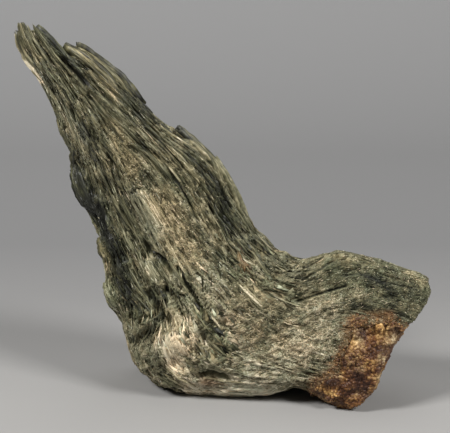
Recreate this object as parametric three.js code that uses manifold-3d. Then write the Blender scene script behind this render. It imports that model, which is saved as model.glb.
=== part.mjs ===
// Actinolite with andradite: one boot-shaped hand specimen of bladed actinolite that leans to a
// splintered tip, with a zone of granular andradite garnet grown across the lower right end.
// Millimetres, +Z up, +X to the right of the front view, -Y towards the viewer.
// The origin lies on the flat resting face under the heel.
import * as THREE from "three";
import { ConvexGeometry } from "three/addons/geometries/ConvexGeometry.js";
import { mergeVertices } from "three/addons/utils/BufferGeometryUtils.js";
import Module from "manifold-3d";

// Driving dimensions
const SPECIMEN_WIDTH = 165;
const CONTACT_GAP = 0.35;
const RIB_HEIGHT = 2;
const BLADE_SINK = 2.2;
const GRAIN_RADIUS = [1.5, 3.1];
const GRAIN_COUNT = 72;
const STREWN_BLADES = 38;

// Seeds of the repeatable random numbers
const RIB_SEED = 11;
const BLADE_SEED = 29;
const GRAIN_SEED = 47;

// The front view: where a real point is seen in the photograph, in its pixels
const PICTURE = { left: 16, right: 431, centreX: 225, centreY: 216.5 };
const MM_PER_PX = SPECIMEN_WIDTH / (PICTURE.right - PICTURE.left);
const VIEW_ELEVATION = THREE.MathUtils.degToRad(16);
const VIEW_DISTANCE = 520;
const AIM = new THREE.Vector3(12, 0, 77);
// The depths below are counted from a plane this far in front of the origin
const REST_SETBACK = 12;
const FORWARD = new THREE.Vector3(0, Math.cos(VIEW_ELEVATION), -Math.sin(VIEW_ELEVATION));
const UP = new THREE.Vector3(0, Math.sin(VIEW_ELEVATION), Math.cos(VIEW_ELEVATION));
const EYE = AIM.clone().addScaledVector(FORWARD, -VIEW_DISTANCE);
const FOCAL_PX = VIEW_DISTANCE / MM_PER_PX;

// The fibres run from the tip down the leg, turn at the heel and run out along the foot.
// Each station is a cut across them: [left or sole edge x, y, right or top edge x, y], in pixels.
const STATIONS = [
  [17, 36, 38, 28], [20, 44, 48, 36], [27, 57, 60, 46], [31, 70, 69, 52], [40, 83, 85, 55],
  [49, 99, 105, 65], [57, 115, 122, 79], [61, 130, 143, 101], [68, 142, 162, 120], [72, 153, 176, 131],
  [77, 165, 188, 139], [75, 178, 202, 148], [77, 189, 212, 156], [81, 201, 220, 165], [88, 211, 228, 178],
  [94, 223, 234, 193], [100, 235, 241, 205], [101, 246, 250, 219], [103, 262, 256, 231],
  [106, 275, 263, 235], [107, 286, 271, 244], [108, 299, 278, 251], [116, 310, 286, 252],
  [124, 322, 290, 254], [126, 335, 294, 258], [130, 349, 299, 260], [134, 361, 304, 261],
  [141, 372, 307, 260], [150, 379, 312, 258], [158, 386, 319, 256], [167, 390, 328, 254],
  [184, 393, 336, 252], [205, 394, 346, 252], [227, 397, 355, 254], [246, 397, 365, 257],
  [266, 397, 375, 259], [284, 391, 384, 262], [296, 387, 393, 265], [308, 391, 402, 268],
  [327, 401, 413, 271], [345, 410, 424, 276],
];
const LAST = STATIONS.length - 1;

// How far the broken end at the right bulges past a straight cut, from sole to top, in pixels
const END_EDGE = [
  [345, 410], [362, 402], [376, 386], [379, 369], [386, 356], [394, 343], [405, 328], [416, 317], [425, 304],
  [430, 292], [426, 276],
];
const END_BULGE_FROM = 31;

// Depths by station, in millimetres: Y of the left or sole edge, Y of the right or top edge, and how far the
// front and the back stand away from the line between them
const SOLE_EDGE_Y = [[0, 4], [10, 9], [16, 12], [22, 15], [28, 16], [31, 10], [34, 3], [37, -4], [40, -11]];
const TOP_EDGE_Y = [[0, 3], [10, 5], [16, 6], [22, 5], [27, 4], [31, 2], [36, 0], [40, -2]];
const FRONT_DEPTH = [
  [0, 3], [4, 8], [10, 14], [16, 19], [22, 24], [27, 26], [31, 22], [36, 17], [39, 13], [40, 10],
];
const BACK_DEPTH = [
  [0, 3], [4, 7], [10, 12], [16, 16], [22, 19], [27, 21], [31, 24], [34, 22], [37, 18], [39, 15], [40, 11],
];
// The share of that depth that is left in the middle of the broken end
const END_CAP_SHARE = 0.55;
// How square the section is: the lower the power, the flatter its front and back
const FRONT_SQUARE = { across: 0.9, deep: 0.72 };
const BACK_SQUARE = { across: 0.72, deep: 0.55 };
// Fibres crowd towards the sole where they turn round the heel
const HEEL_CROWDING = [[0, 1], [22, 1], [26, 1.35], [30, 1.4], [35, 1], [40, 1]];

// Columns of points round the body, and the stations that a rib or a blade runs before it changes
const FRONT_COLUMNS = 20;
const BACK_COLUMNS = 14;
const COLUMNS = FRONT_COLUMNS + BACK_COLUMNS;
const RIB_DRIFT = 7;
const RIB_FADE = 5;
const BLADE_STEP = 2.2;
// A small part of a turn, for slopes
const TURN_STEP = 0.02;

// The andradite's edge on the front and on the back, in pixels, closed off well outside the specimen
const ANDRADITE_FRONT = [
  [304, 389], [320, 378], [337, 372], [338, 357], [344, 345], [350, 333], [353, 316], [374, 319], [390, 315],
  [405, 327], [480, 350], [480, 470], [290, 470], [293, 400],
];
const ANDRADITE_BACK = [
  [322, 396], [334, 384], [347, 379], [349, 366], [353, 356], [358, 347], [361, 335], [378, 336], [393, 331],
  [408, 342], [480, 360], [480, 470], [310, 470], [313, 405],
];
const ANDRADITE_FRONT_Y = -45;
const ANDRADITE_BACK_Y = 45;

// A repeatable run of random numbers from 0 to 1
function randomRun(seed) {
  let state = seed;
  return () => {
    state = (state + 0x6d2b79f5) | 0;
    let t = Math.imul(state ^ (state >>> 15), 1 | state);
    t = (t + Math.imul(t ^ (t >>> 7), 61 | t)) ^ t;
    return ((t ^ (t >>> 14)) >>> 0) / 4294967296;
  };
}

const mix = (a, b, t) => a + (b - a) * t;

// The value of a [station, value] ramp at a station
function ramp(points, station) {
  let i = 1;
  while (i < points.length - 1 && station > points[i][0]) i += 1;
  const [from, low] = points[i - 1];
  const [to, high] = points[i];
  return mix(low, high, THREE.MathUtils.clamp((station - from) / (to - from), 0, 1));
}

// The real point that is seen at a pixel, at a depth behind the setback plane
function sight(px, py, depth) {
  const ray = FORWARD.clone();
  ray.x += (px - PICTURE.centreX) / FOCAL_PX;
  ray.addScaledVector(UP, (PICTURE.centreY - py) / FOCAL_PX);
  const point = EYE.clone().addScaledVector(ray, (depth - EYE.y) / ray.y);
  point.y -= REST_SETBACK;
  return point;
}

// A point between the rows of a table, where its share across is 0 at the first row and 1 at the last
function along(table, share) {
  const at = THREE.MathUtils.clamp(share, 0, 1) * (table.length - 1);
  const i = Math.min(Math.floor(at), table.length - 2);
  return table[i].map((value, k) => mix(value, table[i + 1][k], at - i));
}

// Where a fibre is seen: across is 0 at the left or sole edge and 1 at the right or top edge
function fibrePixel(station, across) {
  const [x0, y0, x1, y1] = along(STATIONS, station / LAST);
  const crowded = across ** ramp(HEEL_CROWDING, station);
  const share = THREE.MathUtils.smoothstep(station, END_BULGE_FROM, LAST);
  const end = along(END_EDGE, across);
  const last = STATIONS[LAST];
  const bulgeX = end[0] - mix(last[0], last[2], across);
  const bulgeY = end[1] - mix(last[1], last[3], across);
  return [mix(x0, x1, crowded) + share * bulgeX, mix(y0, y1, crowded) + share * bulgeY];
}

// The smooth body under the ribs. Turn runs from 0 to 1 over the front, sole to top, and from 1 to 2
// over the back.
function bodyPoint(station, turn, depthShare = 1) {
  const angle = Math.PI * turn;
  const square = turn <= 1 ? FRONT_SQUARE : BACK_SQUARE;
  const cosine = Math.cos(angle);
  const across = 0.5 - 0.5 * Math.sign(cosine) * Math.abs(cosine) ** square.across;
  const bulge = Math.abs(Math.sin(angle)) ** square.deep * depthShare;
  const edgeY = mix(ramp(SOLE_EDGE_Y, station), ramp(TOP_EDGE_Y, station), across);
  const depth = turn <= 1 ? -ramp(FRONT_DEPTH, station) : ramp(BACK_DEPTH, station);
  const [px, py] = fibrePixel(station, across);
  return sight(px, py, edgeY + bulge * depth);
}

// The outward direction of the smooth body
function bodyNormal(station, turn) {
  const low = Math.max(station - 1, 0);
  const high = Math.min(station + 1, LAST);
  const alongFibre = bodyPoint(high, turn).sub(bodyPoint(low, turn));
  const ahead = bodyPoint(station, (turn + TURN_STEP) % 2);
  const behind = bodyPoint(station, (turn - TURN_STEP + 2) % 2);
  return alongFibre.cross(ahead.sub(behind)).normalize();
}

// Ribs that run along the fibres: each column keeps its own height, which drifts slowly between stations
function ribHeights() {
  const random = randomRun(RIB_SEED);
  const drift = RIB_DRIFT;
  return Array.from({ length: COLUMNS }, (_, column) => {
    const keys = Array.from({ length: Math.ceil(LAST / drift) + 2 }, () => random() - 0.5);
    const side = random() < 0.5 ? 0.4 : -0.4;
    return (station) => {
      const i = Math.floor(station / drift);
      return RIB_HEIGHT * (side + mix(keys[i], keys[i + 1], station / drift - i));
    };
  });
}

// A closed mesh from rings of points that turn the same way, with a cap at each end
function loft(rings) {
  const size = rings[0].length;
  const points = rings.flat();
  const faces = [];
  for (let r = 0; r + 1 < rings.length; r += 1) {
    for (let c = 0; c < size; c += 1) {
      const a = r * size + c;
      const b = r * size + ((c + 1) % size);
      faces.push(a, b, a + size, b, b + size, a + size);
    }
  }
  const cap = (start, flip) => {
    const centre = new THREE.Vector3();
    points.slice(start, start + size).forEach((point) => centre.addScaledVector(point, 1 / size));
    points.push(centre);
    for (let c = 0; c < size; c += 1) {
      const a = start + c;
      const b = start + ((c + 1) % size);
      faces.push(...(flip ? [b, a, points.length - 1] : [a, b, points.length - 1]));
    }
  };
  cap(0, true);
  cap((rings.length - 1) * size, false);
  const geometry = new THREE.BufferGeometry().setFromPoints(points);
  geometry.setIndex(faces);
  return geometry;
}

const wasm = await Module();
wasm.setup();

// A closed geometry as a solid that can be cut and joined
function solid(geometry) {
  geometry.deleteAttribute("normal");
  geometry.deleteAttribute("uv");
  const merged = mergeVertices(geometry, 1e-4);
  const made = new wasm.Manifold(
    new wasm.Mesh({
      numProp: 3,
      vertProperties: merged.attributes.position.array,
      triVerts: new Uint32Array(merged.index.array),
    }),
  );
  if (made.volume() > 0) return made;
  const turned = new Uint32Array(merged.index.array).reverse();
  return new wasm.Manifold(
    new wasm.Mesh({ numProp: 3, vertProperties: merged.attributes.position.array, triVerts: turned }),
  );
}

// A solid as a three.js geometry
function geometryOf(made) {
  const mesh = made.getMesh();
  const geometry = new THREE.BufferGeometry();
  geometry.setAttribute("position", new THREE.BufferAttribute(mesh.vertProperties, 3));
  geometry.setIndex(new THREE.BufferAttribute(mesh.triVerts, 1));
  return geometry;
}

// The ribbed body from tip to broken end
function ribbedBody() {
  const ribs = ribHeights();
  const ring = (station, depthShare) =>
    Array.from({ length: COLUMNS }, (_, column) => {
      const onFront = column < FRONT_COLUMNS;
      const turn = onFront ? column / FRONT_COLUMNS : 1 + (column - FRONT_COLUMNS) / BACK_COLUMNS;
      const inside = Math.min(1, 1.4 * Math.sin(Math.PI * turn) ** 2);
      const lift = ribs[column](station) * inside * Math.min(1, station / RIB_FADE);
      return bodyPoint(station, turn, depthShare).addScaledVector(bodyNormal(station, turn), lift);
    });
  const rings = STATIONS.map((_, station) => ring(station, 1));
  rings.push(ring(LAST, END_CAP_SHARE));
  return solid(loft(rings));
}

// A blade lying along the fibres, half sunk in the body. It breaks off in a ledge at one end and fades
// out at the other. Width, thickness and overhang are in millimetres, the ends in stations.
function blade({ turn, from, to, width, thick, ledge = "from", skew = 0.4, overhang = 0 }) {
  const steps = Math.max(3, Math.round((to - from) / BLADE_STEP));
  const rings = [];
  for (let i = 0; i <= steps; i += 1) {
    const share = i / steps;
    const fade = ledge === "from" ? 1 - share : share;
    const crest = [[-0.8, thick * fade ** 0.45], [0.55, thick * fade ** 0.6]];
    const ring = [[-1, -BLADE_SINK], ...crest, [1, -BLADE_SINK]];
    rings.push(
      ring.map(([side, lift]) => {
        const slant = skew * side * (1 - share) * (ledge === "from" ? 1 : 0);
        const station = THREE.MathUtils.clamp(mix(from, to, share) + slant, 0, LAST);
        const pitch = bodyPoint(station, turn + TURN_STEP).distanceTo(bodyPoint(station, turn)) / TURN_STEP;
        const half = (width / 2 / pitch) * (0.6 + 0.4 * Math.sin(Math.PI * (0.25 + 0.75 * share)));
        const place = (turn + side * half + 2) % 2;
        const point = bodyPoint(station, place);
        const ahead = point.clone().sub(bodyPoint(Math.min(station + 2, LAST), place)).normalize();
        point.addScaledVector(bodyNormal(station, place), lift);
        return i === 0 ? point.addScaledVector(ahead, overhang) : point;
      }),
    );
  }
  return solid(loft(rings));
}

// The blades that give the outline its steps, as the front view shows them
const NAMED_BLADES = [
  { turn: 0.12, from: 0.6, to: 8, width: 4, thick: 0.7, overhang: 1.2 },
  { turn: 0.46, from: 0.4, to: 7, width: 2.2, thick: 0.8, skew: 0, overhang: 6.2 },
  { turn: 0.52, from: 0.4, to: 11, width: 4.5, thick: 0.9, overhang: 3.4 },
  { turn: 0.7, from: 0.7, to: 8, width: 4, thick: 0.7, overhang: 2 },
  { turn: 0.86, from: 3.2, to: 14, width: 9, thick: 2, skew: 0.2, overhang: 0.8 },
  { turn: 1.06, from: 3.4, to: 12, width: 7, thick: 1.2 },
  { turn: 0.93, from: 10.2, to: 17, width: 6, thick: 1.7, overhang: 2.6 },
  { turn: 0.84, from: 11.4, to: 19, width: 6, thick: 1.3 },
  { turn: 0.06, from: 10.6, to: 16, width: 8, thick: 1.6 },
  { turn: 1.94, from: 10.8, to: 17, width: 8, thick: 1.4 },
  { turn: 0.1, from: 20, to: 25, width: 7, thick: 0.9 },
  { turn: 0.3, from: 12.5, to: 18, width: 10, thick: 1.6, ledge: "to" },
  { turn: 0.42, from: 17.6, to: 22, width: 9, thick: 2 },
  { turn: 0.4, from: 21.4, to: 28, width: 12, thick: 2, ledge: "to" },
  { turn: 0.62, from: 5.5, to: 13, width: 6, thick: 1.8 },
  { turn: 0.66, from: 13.2, to: 22, width: 9, thick: 2.2, ledge: "to" },
  { turn: 0.72, from: 31, to: 39, width: 12, thick: 1.2 },
];

// Blades strewn over the front and back, shorter and thinner towards the felted foot
function strewnBlades() {
  const random = randomRun(BLADE_SEED);
  return Array.from({ length: STREWN_BLADES }, (_, i) => {
    const onFront = i % 2 === 0;
    const turn = onFront ? mix(0.08, 0.92, random()) : mix(1.06, 1.94, random());
    const from = mix(3, 34, random());
    const leg = from < 20;
    return {
      turn,
      from,
      to: Math.min(from + mix(4, leg ? 11 : 6, random()), LAST - 0.5),
      width: mix(3.5, 7.5, random()),
      thick: mix(0.9, leg ? 2.5 : 1.7, random()),
      ledge: random() < 0.7 ? "from" : "to",
      skew: mix(-0.8, 0.8, random()),
    };
  });
}

// A closed prism between an outline seen at one depth and the matching outline at another
function wedge(frontPx, backPx, frontY, backY, inset) {
  const shrink = (outline) =>
    outline.map(([x, y], i) => {
      const [ax, ay] = outline[(i + outline.length - 1) % outline.length];
      const [bx, by] = outline[(i + 1) % outline.length];
      const before = new THREE.Vector2(x - ax, y - ay).normalize();
      const after = new THREE.Vector2(bx - x, by - y).normalize();
      const inward = new THREE.Vector2(-(before.y + after.y), before.x + after.x).normalize();
      const mitre = Math.max(0.5, Math.sqrt((1 + before.dot(after)) / 2));
      return [x + (inward.x * inset) / MM_PER_PX / mitre, y + (inward.y * inset) / MM_PER_PX / mitre];
    });
  const ring = (outline, y) => shrink(outline).map(([x, z]) => sight(x, z, y));
  const front = ring(frontPx, frontY);
  const back = ring(backPx, backY);
  const size = front.length;
  const corners = shrink(frontPx).map(([x, y]) => new THREE.Vector2(x, y));
  const flat = THREE.ShapeUtils.triangulateShape(corners, []);
  const faces = [];
  for (let i = 0; i < size; i += 1) {
    const j = (i + 1) % size;
    faces.push(i, j, i + size, j, j + size, i + size);
  }
  for (const [a, b, c] of flat) faces.push(c, b, a, a + size, b + size, c + size);
  const geometry = new THREE.BufferGeometry().setFromPoints([...front, ...back]);
  geometry.setIndex(faces);
  return solid(geometry);
}

// A garnet crystal: a rhombic dodecahedron of twelve flat faces
function garnet(centre, radius, random) {
  const signs = [-1, 1];
  const cube = signs.flatMap((x) => signs.flatMap((y) => signs.map((z) => new THREE.Vector3(x, y, z))));
  const tips = signs.flatMap((s) => [0, 1, 2].map((axis) => new THREE.Vector3().setComponent(axis, 2 * s)));
  const points = [...cube, ...tips];
  const geometry = new ConvexGeometry(points);
  geometry.scale(radius / 2, radius / 2, radius / 2);
  geometry.rotateX(random() * Math.PI);
  geometry.rotateZ(random() * Math.PI);
  geometry.translate(centre.x, centre.y, centre.z);
  return solid(geometry);
}

// Garnets over the front, the broken end and the back of the andradite
function garnets() {
  const random = randomRun(GRAIN_SEED);
  return Array.from({ length: GRAIN_COUNT }, () => {
    const station = mix(36, LAST, random() ** 0.8);
    const turn = random() < 0.7 ? mix(0.02, 0.64, Math.sqrt(random())) : mix(1.4, 1.98, random());
    const depthShare = station > LAST - 0.9 ? mix(0.5, 1, random()) : 1;
    const radius = mix(GRAIN_RADIUS[0], GRAIN_RADIUS[1], random());
    return garnet(bodyPoint(station, turn, depthShare), radius, random);
  });
}

const joined = (first, others) => others.reduce((sum, next) => sum.add(next), first);

// What a cut leaves, without loose chips and sealed pockets
function largest(made) {
  return made.decompose().reduce((most, next) => (next.volume() > most.volume() ? next : most));
}

// Everything below the resting plane
function underFloor() {
  const depth = 40;
  const floor = new THREE.BoxGeometry(2 * SPECIMEN_WIDTH, 2 * SPECIMEN_WIDTH, depth);
  floor.translate(0, 0, -depth / 2);
  return solid(floor);
}

const body = ribbedBody();
const floor = underFloor();
const andraditeZone = (inset) =>
  wedge(ANDRADITE_FRONT, ANDRADITE_BACK, ANDRADITE_FRONT_Y, ANDRADITE_BACK_Y, inset);
const blades = [...NAMED_BLADES, ...strewnBlades()].map(blade);
const actinolite = joined(body, blades).subtract(andraditeZone(0)).subtract(floor);
const andradite = joined(body, garnets()).intersect(andraditeZone(CONTACT_GAP)).subtract(floor);

function part(name, made, color, roughness) {
  const material = new THREE.MeshStandardMaterial({ color, roughness, metalness: 0 });
  const mesh = new THREE.Mesh(geometryOf(largest(made)), material);
  mesh.name = name;
  return mesh;
}

const specimen = new THREE.Group();
specimen.add(part("actinolite", actinolite, 0x5e5f4c, 0.55));
specimen.add(part("andradite", andradite, 0x7a4a28, 0.5));
export default specimen;
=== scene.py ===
import math

import bpy
import numpy as np
from mathutils.kdtree import KDTree
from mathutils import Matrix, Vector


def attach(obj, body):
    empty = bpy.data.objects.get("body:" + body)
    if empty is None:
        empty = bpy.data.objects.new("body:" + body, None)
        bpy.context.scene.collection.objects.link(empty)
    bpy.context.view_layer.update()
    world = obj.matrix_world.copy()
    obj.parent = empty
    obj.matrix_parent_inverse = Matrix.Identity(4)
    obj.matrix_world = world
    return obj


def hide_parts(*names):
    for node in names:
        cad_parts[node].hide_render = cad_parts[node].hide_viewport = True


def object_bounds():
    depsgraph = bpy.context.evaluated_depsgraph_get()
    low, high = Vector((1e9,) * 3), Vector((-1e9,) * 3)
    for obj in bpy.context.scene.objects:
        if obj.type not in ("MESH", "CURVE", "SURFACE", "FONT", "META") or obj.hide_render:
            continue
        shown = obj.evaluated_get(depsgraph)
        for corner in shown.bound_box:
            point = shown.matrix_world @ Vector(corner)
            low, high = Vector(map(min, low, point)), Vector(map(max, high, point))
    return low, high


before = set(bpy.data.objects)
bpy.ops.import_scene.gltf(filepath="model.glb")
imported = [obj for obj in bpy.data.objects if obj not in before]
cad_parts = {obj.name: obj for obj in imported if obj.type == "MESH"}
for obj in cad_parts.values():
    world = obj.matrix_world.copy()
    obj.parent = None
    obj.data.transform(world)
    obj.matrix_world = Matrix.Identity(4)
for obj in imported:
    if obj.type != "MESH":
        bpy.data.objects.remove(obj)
cad_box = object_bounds()

# Everything below is worked out in millimetres and goes into Blender in metres.
MM = 0.001

# The photograph's view: the same sight lines as the solids were drawn along.
PICTURE_WIDTH = 450
PICTURE_CENTRE = (225.0, 216.5)
SPECIMEN_WIDTH = 165.0
SPECIMEN_PX = (16, 431)
MM_PER_PX = SPECIMEN_WIDTH / (SPECIMEN_PX[1] - SPECIMEN_PX[0])
VIEW_ELEVATION = math.radians(16)
VIEW_DISTANCE = 520.0
AIM = np.array([12.0, 0.0, 77.0])
REST_SETBACK = 12.0
FOCAL_PX = VIEW_DISTANCE / MM_PER_PX
FORWARD = np.array([0.0, math.cos(VIEW_ELEVATION), -math.sin(VIEW_ELEVATION)])
UP = np.array([0.0, math.sin(VIEW_ELEVATION), math.cos(VIEW_ELEVATION)])
EYE = AIM - VIEW_DISTANCE * FORWARD

# Cuts across the fibres from the tip to the broken end, in pixels: x and y of the left or sole edge, then
# of the right or top edge.
STATIONS = np.array([
    [17, 36, 38, 28], [20, 44, 48, 36], [27, 57, 60, 46], [31, 70, 69, 52], [40, 83, 85, 55],
    [49, 99, 105, 65], [57, 115, 122, 79], [61, 130, 143, 101], [68, 142, 162, 120], [72, 153, 176, 131],
    [77, 165, 188, 139], [75, 178, 202, 148], [77, 189, 212, 156], [81, 201, 220, 165], [88, 211, 228, 178],
    [94, 223, 234, 193], [100, 235, 241, 205], [101, 246, 250, 219], [103, 262, 256, 231],
    [106, 275, 263, 235], [107, 286, 271, 244], [108, 299, 278, 251], [116, 310, 286, 252],
    [124, 322, 290, 254], [126, 335, 294, 258], [130, 349, 299, 260], [134, 361, 304, 261],
    [141, 372, 307, 260], [150, 379, 312, 258], [158, 386, 319, 256], [167, 390, 328, 254],
    [184, 393, 336, 252], [205, 394, 346, 252], [227, 397, 355, 254], [246, 397, 365, 257],
    [266, 397, 375, 259], [284, 391, 384, 262], [296, 387, 393, 265], [308, 391, 402, 268],
    [327, 401, 413, 271], [345, 410, 424, 276],
], float)
LAST = len(STATIONS) - 1

# The broken end from sole to top, in pixels.
END_EDGE = np.array([
    [345, 410], [362, 402], [376, 386], [379, 369], [386, 356], [394, 343],
    [405, 328], [416, 317], [425, 304], [430, 292], [426, 276],
], float)
END_BULGE_FROM = 31
FOOT_FROM = 27

# Depths by station, in millimetres, as (station, value).
SOLE_EDGE_Y = [(0, 4), (10, 9), (16, 12), (22, 15), (28, 16), (31, 10), (34, 3), (37, -4), (40, -11)]
TOP_EDGE_Y = [(0, 3), (10, 5), (16, 6), (22, 5), (27, 4), (31, 2), (36, 0), (40, -2)]
FRONT_DEPTH = [
    (0, 3), (4, 8), (10, 14), (16, 19), (22, 24), (27, 26), (31, 22), (36, 17), (39, 13), (40, 10),
]
BACK_DEPTH = [
    (0, 3), (4, 7), (10, 12), (16, 16), (22, 19), (27, 21), (31, 24), (34, 22), (37, 18), (39, 15), (40, 11),
]
FRONT_SQUARE = (0.9, 0.72)
BACK_SQUARE = (0.72, 0.55)
HEEL_CROWDING = [(0, 1), (22, 1), (26, 1.35), (30, 1.4), (35, 1), (40, 1)]

# The andradite's edge on the front and on the back, in pixels, closed off outside the specimen.
ANDRADITE_FRONT = np.array([
    (304, 389), (320, 378), (337, 372), (338, 357), (344, 345), (350, 333), (353, 316),
    (374, 319), (390, 315), (405, 327), (480, 350), (480, 470), (290, 470), (293, 400),
], float)
ANDRADITE_BACK = np.array([
    (322, 396), (334, 384), (347, 379), (349, 366), (353, 356), (358, 347), (361, 335),
    (378, 336), (393, 331), (408, 342), (480, 360), (480, 470), (310, 470), (313, 405),
], float)
ANDRADITE_DEPTHS = (-45.0, 45.0)

# The way the fibres run over the front, as lines through pixels.
GUIDES = [
    [(20, 36), (28, 60), (42, 84), (58, 116), (69, 142), (76, 165), (81, 190), (88, 206), (97, 228),
     (104, 255)],
    [(30, 30), (48, 60), (70, 95), (92, 130), (108, 160), (122, 190), (135, 215), (147, 240),
     (158, 262), (168, 280)],
    [(168, 280), (182, 302), (196, 326), (207, 348), (220, 364), (240, 371), (262, 373)],
    [(40, 28), (62, 52), (90, 84), (120, 112), (150, 140), (176, 168), (196, 196), (212, 222),
     (228, 246), (246, 266)],
    [(76, 50), (104, 66), (140, 98), (170, 130), (198, 152), (214, 170), (230, 194), (246, 218),
     (262, 236), (284, 252)],
    [(104, 245), (108, 262), (112, 280), (120, 298), (130, 314), (134, 326)],
    [(112, 262), (126, 284), (142, 300), (152, 310), (154, 320), (146, 332), (136, 344), (134, 352)],
    [(134, 250), (146, 272), (156, 290), (161, 310), (160, 326), (152, 340), (146, 352)],
    [(131, 349), (138, 364), (150, 378), (168, 390), (190, 395)],
    [(152, 266), (162, 288), (168, 306), (171, 326), (176, 346), (186, 362), (200, 374), (216, 378),
     (234, 376)],
    [(164, 344), (172, 362), (186, 378), (206, 386), (232, 390), (262, 390), (290, 386)],
    [(190, 285), (206, 308), (222, 330), (240, 348), (262, 361), (290, 370), (312, 376)],
    [(214, 266), (232, 290), (252, 312), (276, 332), (300, 346), (324, 354)],
    [(240, 266), (254, 284), (272, 300), (294, 314), (320, 322), (344, 326)],
    [(252, 250), (262, 264), (276, 278), (298, 284), (320, 276), (342, 266), (366, 266), (392, 276),
     (420, 286)],
    [(268, 240), (280, 256), (292, 266), (306, 268), (322, 260), (340, 254), (364, 258), (392, 266),
     (424, 278)],
    [(258, 274), (280, 292), (302, 300), (328, 292), (352, 284), (380, 288), (408, 300), (418, 306)],
    [(272, 310), (300, 318), (328, 312), (356, 306), (384, 314), (405, 322)],
]

# Cracks on the front: half width in pixels, depth in millimetres, and the line in pixels. Each also darkens
# the tone along its line, as painted shade in the crack.
CRACKS = [
    (2.4, 2.8, [(176, 131), (195, 147), (207, 159), (219, 178), (226, 194), (232, 206)]),
    (1.7, 1.5, [(114, 197), (121, 193), (130, 194), (139, 189)]),
    (3.4, 3.4, [(144, 243), (149, 254), (157, 255), (165, 261), (173, 272)]),
    (3.0, 3.0, [(178, 268), (184, 280), (190, 290), (197, 300)]),
    (2.0, 1.8, [(153, 289), (162, 291), (168, 291), (176, 295), (187, 296)]),
    (2.8, 2.2, [(165, 288), (169, 293)]),
    (2.6, 2.1, [(60, 57), (72, 70), (86, 85)]),
    (2.2, 1.5, [(51, 42), (56, 46)]),
    (2.8, 2.4, [(69, 51), (76, 60), (86, 68)]),
    (2.0, 1.7, [(298, 302), (326, 292), (346, 286)]),
    (1.6, 1.0, [(302, 280), (312, 274), (334, 262)]),
    (1.7, 0.5, [(341, 276), (362, 274), (388, 283), (412, 288)]),
    (6.5, 0.9, [(152, 292), (158, 306), (160, 318), (152, 330), (142, 336), (132, 342)]),
    (5.0, 1.5, [(196, 304), (208, 323), (217, 340), (225, 355)]),
    (3.4, 3.0, [(198, 377), (206, 375), (214, 376), (226, 379)]),
    (2.4, 1.8, [(166, 390), (177, 388), (184, 393)]),
    (1.4, 0.8, [(176, 340), (183, 340), (188, 337)]),
    (2.4, 2.0, [(209, 199), (213, 213)]),
    (4.0, 1.6, [(142, 142), (147, 150)]),
    (1.8, 1.4, [(146, 128), (162, 142), (180, 162), (196, 184)]),
    (1.8, 1.3, [(150, 148), (168, 168), (186, 196), (198, 222)]),
    (1.8, 1.2, [(88, 96), (104, 116), (122, 142)]),
    (1.6, 1.1, [(62, 90), (80, 122), (98, 152)]),
    (1.8, 1.2, [(225, 200), (240, 228), (254, 252), (266, 268)]),
    (2.4, 1.6, [(100, 204), (106, 220), (112, 236)]),
    (1.6, 0.9, [(186, 372), (200, 362), (215, 366), (232, 360)]),
]

# Swellings and hollows on the front: height in millimetres, reach in pixels, and the line in pixels.
SWELLS = [
    (1.8, 13, [(122, 268), (138, 296), (146, 312), (138, 332)]),
    (1.6, 9, [(74, 172), (84, 196), (92, 212)]),
    (1.4, 8, [(106, 286), (114, 304)]),
    (1.2, 8, [(101, 240), (108, 264)]),
    (1.6, 14, [(170, 330), (186, 352), (206, 366)]),
    (-1.6, 14, [(216, 316), (232, 340), (244, 356)]),
    (-1.4, 12, [(86, 214), (96, 240), (108, 262)]),
    (1.4, 9, [(142, 196), (150, 214), (160, 236)]),
    (-1.2, 8, [(120, 214), (132, 236), (146, 258)]),
    (1.2, 7, [(146, 262), (158, 282)]),
    (1.2, 10, [(84, 58), (104, 78), (128, 104)]),
    (-1.2, 8, [(48, 60), (66, 84), (88, 112)]),
    (1.2, 12, [(300, 318), (330, 304), (360, 300)]),
    (-1.0, 12, [(276, 296), (292, 302)]),
    (1.4, 10, [(330, 262), (356, 262)]),
]
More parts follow.
